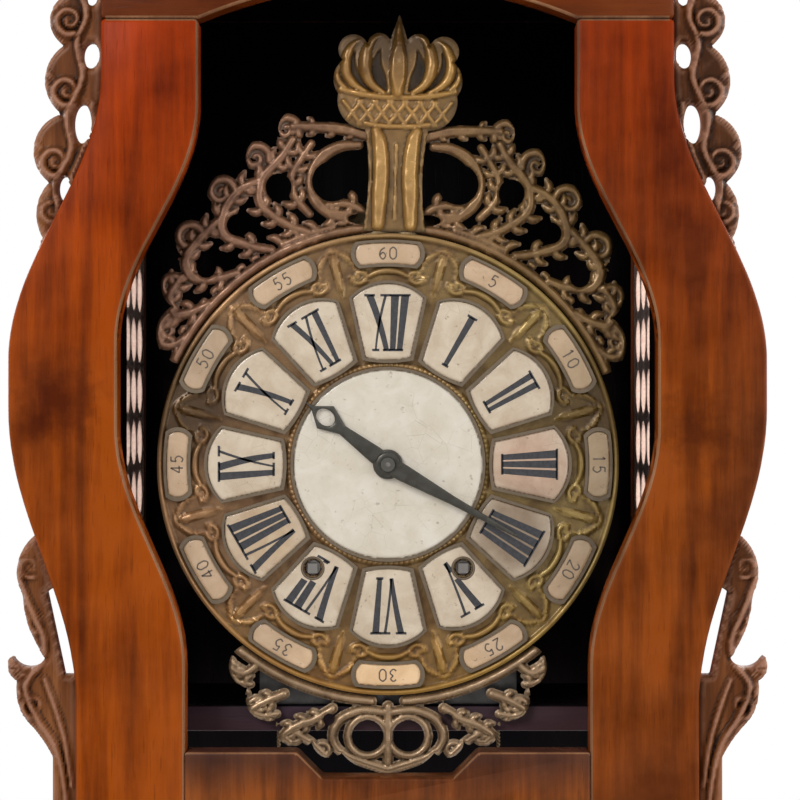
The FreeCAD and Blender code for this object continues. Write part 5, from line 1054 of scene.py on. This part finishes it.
FRONTON_LEAN = 1.5
CAST_GRID, CARVED_GRID = 0.7, 1.1
LEAF_SPREAD, LEAF_BEND = math.radians(65), math.radians(35)


def upright_place(x, z, lean):
    """Where a point of a leaning piece lies before the piece is turned clockwise about the dial's centre."""
    cos, sin = math.cos(math.radians(lean)), math.sin(math.radians(lean))
    return x * cos - z * sin, x * sin + z * cos


def mirrored_strokes(strokes):
    """Strokes and their mirror images at the other side of the middle."""
    return strokes + [[(-x, z, wide) for x, z, wide in stroke] for stroke in strokes]


def leaflets(stem, size, spacing, wide):
    """Short curled leaves that spring from both sides of a stem."""
    run = smooth_run(stem, 6)
    out = []
    travelled = 0.0
    for a, b in zip(run, run[1:]):
        dx, dz = b[0] - a[0], b[1] - a[1]
        step = math.hypot(dx, dz)
        travelled += step
        if travelled < spacing or step < 1e-6:
            continue
        travelled = 0.0
        for way in (1, -1):
            angle = math.atan2(dz, dx) + way * LEAF_SPREAD
            bend = angle - way * LEAF_BEND
            mx, mz = b[0] + math.cos(angle) * size * 0.55, b[1] + math.sin(angle) * size * 0.55
            out.append([(b[0], b[1], wide * 0.6), (mx, mz, wide),
                        (mx + math.cos(bend) * size * 0.5, mz + math.sin(bend) * size * 0.5, wide * 0.35)])
    return out


def foliage(strokes, ground, tall, fill, edge, seed, vein, gain, cut=None, lean=0.0):
    """A shape for carved_piece. The strokes stand up to tall over a ground that rises by fill from its edge. vein is
    the depth of their chasing, and gain makes flat strokes stand higher. Ground that lies more than cut away from
    them is pierced, and lean turns them clockwise about the dial's centre, in degrees."""
    def shape(x, z, reach, back, front):
        x, z = upright_place(x, z, lean)
        off, high = stroke_fields(x, z, strokes, 4)
        base = back + ground
        height = np.maximum(shoulder(reach, edge, fill), np.minimum(high * gain, tall))
        height += vein * np.clip(high, 0, 1) * ripple(x, z, seed, 1.5)
        height *= 0.35 + 0.65 * smoothstep(reach, -0.2, edge * 0.7)
        if cut is not None:
            reach = np.minimum(reach, off + cut)
        return reach, np.clip(base + height, back + 0.5, front)

    return shape


FRONTON_STEMS = [
    [(12, 176, 2.6), (28, 180, 2.8), (44, 181, 2.6), (56, 181, 2.4)],
    [(22, 131, 2.4), (34, 134, 2.6), (43, 142, 3.0), (45, 154, 3.2), (40, 165, 3.0), (30, 171, 2.6), (20, 172, 2.0)],
    [(46, 134, 1.8), (54, 143, 2.2), (56, 154, 2.2), (51, 164, 2.0), (46, 172, 1.8)],
    [(33, 127, 1.6), (46, 123, 2.0), (60, 117, 2.0)],
    [(17, 129, 2.0), (24, 133, 3.0), (34, 134, 3.0)],
    [(15, 134, 1.8), (21, 138.5, 2.2), (29, 140, 2.4), (36, 139, 2.0)],
    [(46, 124, 2.2), (58, 128, 2.4), (72, 138, 2.6), (72, 152, 2.6), (62, 164, 2.6), (56, 174, 2.2)],
    [(66, 114, 2.2), (78, 116, 2.4), (92, 122, 2.8), (92, 134, 2.8), (84, 146, 2.6), (72, 152, 2.2)],
    [(84, 101, 2.2), (94, 98, 2.4), (108, 98, 2.8), (112, 108, 2.8), (104, 120, 2.6), (94, 130, 2.2)],
    [(99, 84, 2.2), (107, 80, 2.4), (117, 78, 2.6), (120, 88, 2.4), (114, 98, 2.2)],
    [(109, 68, 2.0), (116, 62, 2.2), (124, 62, 2.2), (125, 72, 2.0), (118, 80, 1.8)]]
FRONTON_CURLS = [
    spiral(60, 179.5, 200, -1.35, 7.5, 1.0, 2.2, 1.2),
    spiral(76, 163.5, 190, -1.35, 8.0, 1.0, 2.3, 1.2),
    spiral(94, 144.5, 170, -1.35, 8.0, 1.0, 2.3, 1.2),
    spiral(110.5, 119.5, 150, -1.35, 7.8, 1.0, 2.3, 1.2),
    spiral(119, 92.5, 130, -1.3, 6.6, 1.0, 2.0, 1.1),
    spiral(121, 69.5, 120, -1.2, 5.4, 1.0, 1.8, 1.0)]


def fronton_strokes():
    """Stems with curls and leaves over a band along the dial, set with beads."""
    band = [[(*around(128.2, turn), 2.4) for turn in range(6, 68, 6)]]
    leaves = [leaf for stem in FRONTON_STEMS[2:] for leaf in leaflets(stem, 8.5, 8.0, 2.1)]
    leaves += leaflets(FRONTON_STEMS[0], 6.0, 9.0, 1.7)
    beads = [[(*around(132.6, turn), 1.5), (*around(132.6, turn + 0.8), 1.5)] for turn in range(14, 66, 4)]
    return mirrored_strokes(FRONTON_STEMS + FRONTON_CURLS + band + leaves + beads)


LOWER_STEMS = [
    [(2, -134, 2.2), (14, -133, 2.4), (26, -138, 2.4), (30, -147, 2.2), (26, -155, 2.0), (16, -160, 2.2),
     (0, -165, 2.4)],
    [(0, -131, 2.4), (0, -142, 2.6), (0, -154, 2.4), (0, -162, 2.2)],
    [(30, -132, 2.2), (40, -138, 2.4), (48, -141, 2.6), (56, -146, 2.2), (53, -150, 1.8)],
    [(56, -124, 2.2), (66, -128, 2.4), (74, -133, 2.2), (68, -136, 1.8), (60, -135, 1.6)],
    [(70, -108, 2.0), (78, -113, 2.2), (86, -110, 1.8), (82, -117, 1.6), (74, -119, 1.4)],
    [(34, -157, 1.8), (42, -150, 2.0), (50, -145, 1.8)]]


LOWER_CURLS = [
    spiral(51, -147.5, 30, 1.2, 5.0, 0.9, 1.7, 1.0), spiral(70, -131, 30, 1.2, 5.0, 0.9, 1.7, 1.0),
    spiral(83, -112, 40, 1.2, 4.2, 0.8, 1.5, 0.9), spiral(35, -154.5, 60, 1.2, 4.0, 0.8, 1.5, 0.9)]
LOWER_RING_X, LOWER_RING_Z, LOWER_RING_RADIUS = 11, -147, 10.6


def lower_fret_strokes():
    """Two rings in the middle, stems with curls and leaves, and a band along the dial."""
    band = [[(*around(128.4, turn), 2.2) for turn in range(128, 181, 6)]]
    rings = [[(LOWER_RING_X + LOWER_RING_RADIUS * math.cos(math.radians(turn)),
               LOWER_RING_Z + LOWER_RING_RADIUS * math.sin(math.radians(turn)), 2.0) for turn in range(0, 361, 30)]]
    leaves = [leaf for stem in LOWER_STEMS[2:5] for leaf in leaflets(stem, 6.5, 7.0, 1.8)]
    return mirrored_strokes(LOWER_STEMS + band + rings + leaves + LOWER_CURLS)


# The crown: the strokes above the stem are drawn a little too wide and then narrowed
CROWN_NARROW, CROWN_STEM_TOP = 0.955, 180
BASKET_LOW, BASKET_HIGH, BASKET_PITCH, BASKET_SLANT = 182.5, 195.0, 8.5, 5
CROWN_RIMS = [
    [(0, 181.8, 1.6), (10, 182.0, 1.8), (18, 183.2, 1.6)],
    [(0, 197.2, 1.6), (12, 197.8, 1.9), (23, 199.2, 1.9), (32.5, 201.2, 1.6)]]
CROWN_LEAVES = [
    [(0, 200, 3.4), (0, 210, 4.8), (0, 221, 4.2), (0, 231, 2.2), (0, 243, 0.5)],
    [(8.6, 199.8, 1.6), (15.6, 205.0, 2.8), (18.6, 213.0, 3.4), (18.2, 221.5, 3.2), (15.0, 227.6, 2.2),
     (10.0, 231.0, 0.8)],
    [(18.0, 200.2, 1.4), (25.0, 204.0, 2.2), (29.2, 210.0, 2.8), (29.6, 217.5, 2.8), (27.0, 224.0, 2.2),
     (22.5, 228.0, 0.8)],
    [(27.5, 200.6, 1.0), (32.0, 203.8, 1.8), (34.6, 208.6, 1.6), (34.0, 213.5, 0.8)]]
CROWN_FLUTES = [
    [(8.8, 129, 3.6), (8.2, 145, 4.4), (7.8, 160, 4.4), (9.2, 174, 4.0), (11, 179, 3.0)],
    [(15.6, 127, 0.9), (14.0, 145, 1.0), (13.6, 158, 1.0), (15.8, 178, 1.0)],
    [(0, 172, 1.4), (0, 150, 1.1), (0, 132, 1.4)]]
# Dark hollows between the leaves
CROWN_GAPS = [
    [(6.6, 201.5, 1.0), (10.2, 207.5, 3.6), (12.2, 213.5, 3.2), (11.6, 219.5, 1.6), (10.4, 223.0, 0.5)],
    [(14.5, 200.5, 0.6), (20.0, 204.5, 1.5), (24.6, 211.0, 1.7), (25.6, 217.5, 1.1), (24.6, 221.5, 0.5)]]
# Height and radius of the round swelling of the leaves, its place above the dial's centre, and the hollows' depth
SWELL_HIGH, SWELL_RADIUS, SWELL_UP, HOLLOW_SHARE = 1.2, 34, 206, 0.7


def crown_strokes():
    """A woven basket on a fluted stem, with a palmette of leaves that rises from it to the spike in the middle."""
    strokes = []
    for place in range(-3, 4):
        x = place * BASKET_PITCH
        strokes.append([(x - BASKET_SLANT, BASKET_LOW, 1.3), (x + BASKET_SLANT, BASKET_HIGH, 1.4)])
        strokes.append([(x + BASKET_SLANT, BASKET_LOW, 1.1), (x - BASKET_SLANT, BASKET_HIGH, 1.1)])
    return mirrored_strokes([[(x * (CROWN_NARROW if z > CROWN_STEM_TOP else 1), z, wide) for x, z, wide in stroke]
                             for stroke in strokes + CROWN_RIMS + CROWN_LEAVES + CROWN_FLUTES])


def crown_shape(x, z, reach, back, front):
    """The crown's relief: leaves that swell forwards with dark hollows between them."""
    shape = foliage(crown_strokes(), 1.0, 4.9, 0.7, 2.6, 23, 0.5, 1.35, lean=FRONTON_LEAN)
    reach, depth = shape(x, z, reach, back, front)
    across, up = upright_place(x, z, FRONTON_LEAN)
    across = across / CROWN_NARROW
    away = (across / SWELL_RADIUS) ** 2 + ((up - SWELL_UP) / SWELL_RADIUS) ** 2
    depth = depth + SWELL_HIGH * np.clip(1 - away, 0, 1)
    inside_gap, _ = stroke_fields(across, up, mirrored_strokes(CROWN_GAPS), 4)
    depth = depth - HOLLOW_SHARE * (front - back) * smoothstep(inside_gap, -0.5, 2.2)
    return reach, np.clip(depth, back + 0.8, front)


carved_piece("fronton_cast", "fronton", CAST_GRID,
             foliage(fronton_strokes(), 0.6, 3.1, 0.5, 2.2, 21, 0.3, 1.3, 0.5, FRONTON_LEAN), cast_finish)
carved_piece("lower_fret_cast", "lower_fret", CAST_GRID,
             foliage(lower_fret_strokes(), 0.6, 3.1, 0.6, 2.0, 22, 0.3, 1.3, 0.8), low_fret_finish)
carved_piece("crown_cast", "crown", CAST_GRID, crown_shape, crown_finish)

# Carved wings: the middle and the size of each lobe, and the stems that run along them
UPPER_LOBES = [(166, 262, 11), (167, 234, 11), (168.5, 197, 11.5), (174.5, 160, 11.5), (176, 134, 9)]
UPPER_RUNS = [
    [(150, 272, 2.0), (160, 254, 2.4), (158, 236, 2.4), (163, 222, 2.2), (160, 204, 2.4), (168, 184, 2.4),
     (166, 166, 2.4), (174, 148, 2.4), (172, 128, 2.4), (180, 118, 2.2), (184, 109, 1.4)],
    [(155, 190, 1.6), (159, 168, 1.8), (166, 150, 1.8), (170, 132, 1.6)]]
LOWER_LOBES = [(188, -53, 8), (184, -82, 8), (191, -106, 6), (186, -126, 9)]
LOWER_RUNS = [
    [(199, -44, 1.8), (193, -60, 2.2), (187, -75, 2.4), (180, -92, 2.4), (183, -104, 2.2), (190, -116, 2.2),
     (184, -132, 2.4), (175, -146, 2.2), (170, -165, 2.0), (168, -190, 1.8)],
    [(180, -112, 1.8), (174, -128, 2.2), (169, -146, 2.0), (166, -168, 1.6)]]
CREST_RUNS = [
    [(58, 303, 2.4), (54, 316, 2.6), (44, 312, 2.4), (36, 308, 2.0)],
    [(42, 310, 2.2), (38, 326, 2.8), (28, 330, 2.6), (20, 322, 2.2)],
    [(18, 318, 2.4), (16, 334, 3.0), (10, 346, 3.0), (0, 350, 3.0)],
    [(0, 316, 2.4), (8, 320, 2.6), (10, 332, 2.6), (6, 343, 2.2), (0, 346, 2.0)]]


def wing_strokes(lobes, runs):
    """A scroll with three short leaves in each lobe, and the stems."""
    strokes = list(runs)
    for x, z, size in lobes:
        strokes.append(spiral(x, z, 250, 1.4, size * 0.72, size * 0.12, size * 0.22, size * 0.12, 16))
        for turn in (35, 5, -25):
            angle, curled = math.radians(turn), math.radians(turn) + 0.15
            strokes.append([(x + size * 0.5 * math.cos(angle), z + size * 0.5 * math.sin(angle), 1.1),
                            (x + size * 1.15 * math.cos(curled), z + size * 1.15 * math.sin(curled), 1.5)])
    return mirrored_strokes(strokes)


for node, lobes, runs, seed in (("upper_wings", UPPER_LOBES, UPPER_RUNS, 31),
                                ("lower_wings", LOWER_LOBES, LOWER_RUNS, 32), ("crest", (), CREST_RUNS, 33)):
    carved_piece(node + "_carved", node, CARVED_GRID,
                 foliage(wing_strokes(lobes, runs), 8.2, 5.7, 2.2, 3.4, seed, 0.35, 2.3), carved_finish)


# The door's frame and the case keep their shapes, with rounded edges; faces turned inwards get near-black painted
# shade

CASE_MIDDLE = Vector((0, -0.085, DIAL_Z + 0.04))
CASE_HALF, CASE_BACK, CASE_FRONT, CASE_FLOOR, CASE_ROOF = 0.1465, 0.0155, 0.171, -0.2, 0.263
OPENING_HALF, OPENING_LOW, OPENING_HIGH = 0.145, -0.16, 0.25
BEVEL_STEEP, BEVEL_FLAT = 0.15, 0.93


def faces_in(centre, normal):
    """True for a board's face that looks into the case."""
    inside = abs(centre.x) < CASE_HALF and CASE_BACK < -centre.y < CASE_FRONT
    inside = inside and CASE_FLOOR < centre.z - DIAL_Z < CASE_ROOF
    return inside and normal.dot(CASE_MIDDLE - centre) > 0


def inner_bevel(centre, normal):
    """True for the eased edge that runs round the door's opening."""
    inside = abs(centre.x) < OPENING_HALF and OPENING_LOW < centre.z - DIAL_Z < OPENING_HIGH
    return inside and BEVEL_STEEP < -normal.y < BEVEL_FLAT


for node, ease, finish in (("left_stile", 3.4, frame_finish), ("right_stile", 3.4, shaded_right_frame_finish),
                           ("bottom_rail", 2.6, rail_finish), ("arch_rail", 2.6, arch_finish)):
    eased_copy(node + "_wood", node, ease, finish, 3, (inner_bevel, bevel_finish))
for node, finish in (("side_panel_left", case_finish), ("side_panel_right", case_finish),
                     ("back_board", case_finish), ("roof_board", roof_finish), ("seat_board", shelf_finish)):
    eased_copy(node + "_wood", node, 0.8, finish, 2, (faces_in, inside_shade_finish))


# Hands and silk

FILED_WIDE, FILED_DEEP, HAND_GRID = 2.2, 0.75, 0.33


def hand_shape(x, z, reach, back, front):
    """A filed hand: rounded over its whole width, thickest along the middle."""
    return reach, front - FILED_DEEP + shoulder(reach, FILED_WIDE, FILED_DEEP)


for node in ("hour_hand", "minute_hand"):
    carved_piece(node + "_filed", node, HAND_GRID, hand_shape, hand_finish)


def woven_silk():
    """Pale silk, thin enough to let the light of the side windows through."""
    material, tree, surface = start_finish("woven_silk", Sheen_Weight=0.6, Specular_IOR_Level=0.1)
    place = object_place(tree)
    warp = add(tree, "ShaderNodeTexWave", {"Vector": place, "Scale": 700.0}, bands_direction="Y").outputs["Fac"]
    weft = add(tree, "ShaderNodeTexWave", {"Vector": place, "Scale": 700.0}, bands_direction="Z").outputs["Fac"]
    weave = maths(tree, "MAXIMUM", warp, weft)
    slub = noise(tree, stretched(tree, place, (1.0, 1.0, 9.0)), 60, 4, 0.6)
    colour = mixed(tree, spread(tree, slub, 0.35, 0.7), (0.95, 0.7, 0.58, 1), (0.8, 0.52, 0.42, 1))
    colour = mixed(tree, spread(tree, weave, 0.2, 0.7, 0.25, 0.0), colour, (0.6, 0.38, 0.3, 1))
    close_finish(tree, surface, colour, spread(tree, slub, 0.3, 0.7, 0.7, 0.9), weave, 0.3, 0.0002)
    through = add(tree, "ShaderNodeBsdfTranslucent", {"Color": colour}).outputs[0]
    both = add(tree, "ShaderNodeMixShader", {0: 0.65, 1: tree.nodes["Principled BSDF"].outputs[0], 2: through})
    tree.links.new(both.outputs[0], tree.nodes["Material Output"].inputs["Surface"])
    return material


SILK_COLUMNS, SILK_ROWS = 26, 64
SILK_SUNK = 0.4


def silk_sheets():
    """The two silk sheets, stretched on the inner side of the side frets, with the window's arched head."""
    low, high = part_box("fret_silk")
    finish = woven_silk()
    near, far = -high.y, -low.y
    wide, tall = far - near, high.z - low.z
    half = wide / 2
    bow = half / 2
    radius = (half * half + bow * bow) / (2 * bow)
    for side, word in ((-1, "left"), (1, "right")):
        verts, faces = [], []
        for i in range(SILK_COLUMNS + 1):
            depth = near + wide * i / SILK_COLUMNS
            head = high.z - radius + math.sqrt(radius ** 2 - (depth - near - half) ** 2)
            for j in range(SILK_ROWS + 1):
                pull = max(math.sin(math.pi * i / SILK_COLUMNS) * math.sin(math.pi * j / SILK_ROWS), 0.0)
                pucker = 0.05 * math.sin(i * 1.4) * (1 - pull) + 0.06 * math.sin(j * 0.7 + i * 0.3)
                verts.append((side * (high.x - (SILK_SUNK + pucker * pull ** 0.3) * MM), -depth,
                              low.z + (head - low.z) * j / SILK_ROWS))
        for i in range(SILK_COLUMNS):
            for j in range(SILK_ROWS):
                a, b = i * (SILK_ROWS + 1) + j, (i + 1) * (SILK_ROWS + 1) + j
                faces.append((a, a + 1, b + 1, b) if side > 0 else (a, b, b + 1, a + 1))
        cloth = new_piece("fret_silk_" + word, verts, faces, "root", finish, ("fret_silk",), 80)


silk_sheets()

# Other CAD pieces keep their shapes and get their finish

FINISH_OF_NODE = {node: finish for finish, nodes in (
    (lattice_finish, ("side_frets",)),
    (rim_finish, ("cartouche_rims",)),
    (hand_finish, ("hand_collet",)),
    (bell_finish, ("bell",)),
    (shadow_iron_finish, ("front_plate",)),
    (weight_finish, ("pendulum_bob", "going_weight", "strike_weight")),
    (hinge_finish, ("rating_nut", "case_hinge_leaves", "door_hinge_leaves", "door_latch", "latch_staple")),
    (iron_finish, ("wall_hanger", "back_plate", "back_cock", "anchor", "crutch", "hammer", "bell_stand",
                   "suspension_spring", "pendulum_rod"))) for node in nodes}
# Radii, in millimetres, within which a brass wheel's faces belong to its steel arbor
STEEL_RADIUS = 1.75
STEEL_OF_BODY = {"going_drum": 4.2, "strike_drum": 4.2, "great": 1.8, "strike_great": 1.8, "centre": 2.75}


def finish_nodes():
    """Each CAD node gets its finish. In a brass wheel the faces close to its axis belong to its steel arbor."""
    axis_of = {j["child"]: j["pos_m"] for j in frame["joints"] if abs(j["axis"][1]) == 1}
    for name, obj in NODES.items():
        finish = FINISH_OF_NODE.get(name, train_finish)
        mesh = obj.data
        mesh.materials.clear()
        mesh.materials.append(finish)
        index = np.zeros(len(mesh.polygons), np.int32)
        if finish is train_finish and BODY_OF[name] in axis_of:
            x, _, z = axis_of[BODY_OF[name]]
            centres = np.empty(len(mesh.polygons) * 3, np.float32)
            mesh.polygons.foreach_get("center", centres)
            off = np.hypot(centres[0::3] - x, centres[2::3] - z)
            mesh.materials.append(iron_finish)
            index[off < STEEL_OF_BODY.get(BODY_OF[name], STEEL_RADIUS) * MM] = 1
        mesh.polygons.foreach_set("material_index", index)


finish_nodes()


# The gut lines: two strands laid up in a long twist

# Height of a turn of the twist, and the mesh's points round a strand and steps along the line
TWIST_PITCH, STRAND_POINTS, LINE_STEPS = 0.004, 10, 420
# Shares of the line's half thickness: from its middle to a strand's middle, and a strand's radius
STRAND_OFF_SHARE, STRAND_RADIUS_SHARE = 0.42, 0.58


def twisted_line(name, node):
    low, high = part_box(node)
    x, y = (low.x + high.x) / 2, (low.y + high.y) / 2
    thick = (high.x - low.x) / 2
    off, radius = thick * STRAND_OFF_SHARE, thick * STRAND_RADIUS_SHARE
    verts, faces = [], []
    for strand in range(2):
        base = len(verts)
        for step in range(LINE_STEPS + 1):
            z = high.z + (low.z - high.z) * step / LINE_STEPS
            angle = math.tau * ((high.z - z) / TWIST_PITCH + strand / 2)
            cx, cy = x + math.cos(angle) * off, y + math.sin(angle) * off
            for turn in range(STRAND_POINTS):
                a = math.tau * turn / STRAND_POINTS
                verts.append((cx + math.cos(a) * radius, cy + math.sin(a) * radius, z))
        for step in range(LINE_STEPS):
            for turn in range(STRAND_POINTS):
                after = (turn + 1) % STRAND_POINTS
                a, b = base + step * STRAND_POINTS, base + (step + 1) * STRAND_POINTS
                faces.append((a + turn, b + turn, b + after, a + after))
        faces.append(tuple(base + k for k in range(STRAND_POINTS)))
        faces.append(tuple(base + LINE_STEPS * STRAND_POINTS + k for k in reversed(range(STRAND_POINTS))))
    mesh = bpy.data.meshes.new(name)
    mesh.from_pydata(verts, [], faces)
    mesh.polygons.foreach_set("use_smooth", [True] * len(mesh.polygons))
    mesh.materials.append(gut_finish)
    obj = bpy.data.objects.new(name, mesh)
    bpy.context.scene.collection.objects.link(obj)
    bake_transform(obj)
    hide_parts(node)


twisted_line("going_line_gut", "going_line")
twisted_line("strike_line_gut", "strike_line")


# Studio: white beyond the object, a pale floor, and soft lamps

def seen_white(tree, colour, strength):
    """White towards the camera, glass and gloss, and a plain soft light for everything else."""
    path = tree.nodes.new("ShaderNodeLightPath").outputs
    seen = maths(tree, "ADD", path["Is Camera Ray"], path["Is Glossy Ray"])
    seen = maths(tree, "ADD", seen, path["Is Transmission Ray"], clamp=True)
    plain = add(tree, "ShaderNodeBackground", {"Color": colour, "Strength": strength})
    white = add(tree, "ShaderNodeBackground", {"Color": (1, 1, 1, 1), "Strength": 1.0})
    return add(tree, "ShaderNodeMixShader", {0: seen, 1: plain.outputs[0], 2: white.outputs[0]}).outputs[0]


# Height left free below the clock at rest, into which its weights go down
FALL_ROOM = 0.3
FLOOR_HALF, FLOOR_FRONT, FLOOR_BACK = 2.2, -2.4, 1.9
CAMERA_PLACE, LENS, SENSOR_WIDE = (0.0065, -1.352, -0.2554), 100, 36
# Place from the clock's middle, size in metres and power in watts
LAMPS = {"lamp_key": ((-0.9, -1.5, 0.9), 0.7, 16.0), "lamp_fill": ((1.3, -1.2, 0.2), 1.2, 8.0),
         "lamp_back": ((0.9, 1.3, 0.8), 1.0, 14.0), "lamp_back_left": ((-1.2, 1.2, 0.4), 1.0, 10.0),
         "lamp_side_right": ((1.4, 0.25, 0.35), 1.0, 12.0), "lamp_side_left": ((-1.4, 0.25, 0.3), 1.0, 4.0)}


def surroundings():
    """The world, and a floor that isn't part of the clock."""
    world = bpy.data.worlds.new("studio")
    bpy.context.scene.world = world
    world.use_nodes = True
    tree = world.node_tree
    tree.nodes.clear()
    output = tree.nodes.new("ShaderNodeOutputWorld")
    tree.links.new(seen_white(tree, (1.0, 0.99, 0.97, 1), 0.35), output.inputs["Surface"])
    low = cad_box[0].z - FALL_ROOM
    mesh = bpy.data.meshes.new("floor")
    mesh.from_pydata([(-FLOOR_HALF, FLOOR_FRONT, low), (FLOOR_HALF, FLOOR_FRONT, low),
                      (FLOOR_HALF, FLOOR_BACK, low), (-FLOOR_HALF, FLOOR_BACK, low)], [], [(0, 1, 2, 3)])
    material, _, _ = start_finish("pale_floor", Base_Color=(0.8, 0.79, 0.77, 1), Roughness=0.9)
    mesh.materials.append(material)
    floor = bpy.data.objects.new("floor", mesh)
    bpy.context.scene.collection.objects.link(floor)


def lamps():
    """Soft square lamps, each turned to the clock's middle."""
    middle = Vector((0, -0.1, DIAL_Z))
    for name, (place, size, power) in LAMPS.items():
        light = bpy.data.lights.new(name, "AREA")
        light.size = size
        light.energy = power
        lamp = bpy.data.objects.new(name, light)
        lamp.location = middle + Vector(place)
        lamp.rotation_mode = "QUATERNION"
        lamp.rotation_quaternion = (middle - lamp.location).to_track_quat("-Z", "Y")
        bpy.context.scene.collection.objects.link(lamp)


def photograph_view():
    """A camera straight in front, at the photograph's height and distance."""
    view = bpy.data.cameras.new("camera")
    view.lens = LENS
    view.sensor_width = SENSOR_WIDE
    camera = bpy.data.objects.new("camera", view)
    camera.location = CAMERA_PLACE
    camera.rotation_euler = (math.radians(90), 0, 0)
    bpy.context.scene.collection.objects.link(camera)
    bpy.context.scene.camera = camera
    bpy.context.scene.view_settings.view_transform = "Standard"


surroundings()
lamps()
photograph_view()
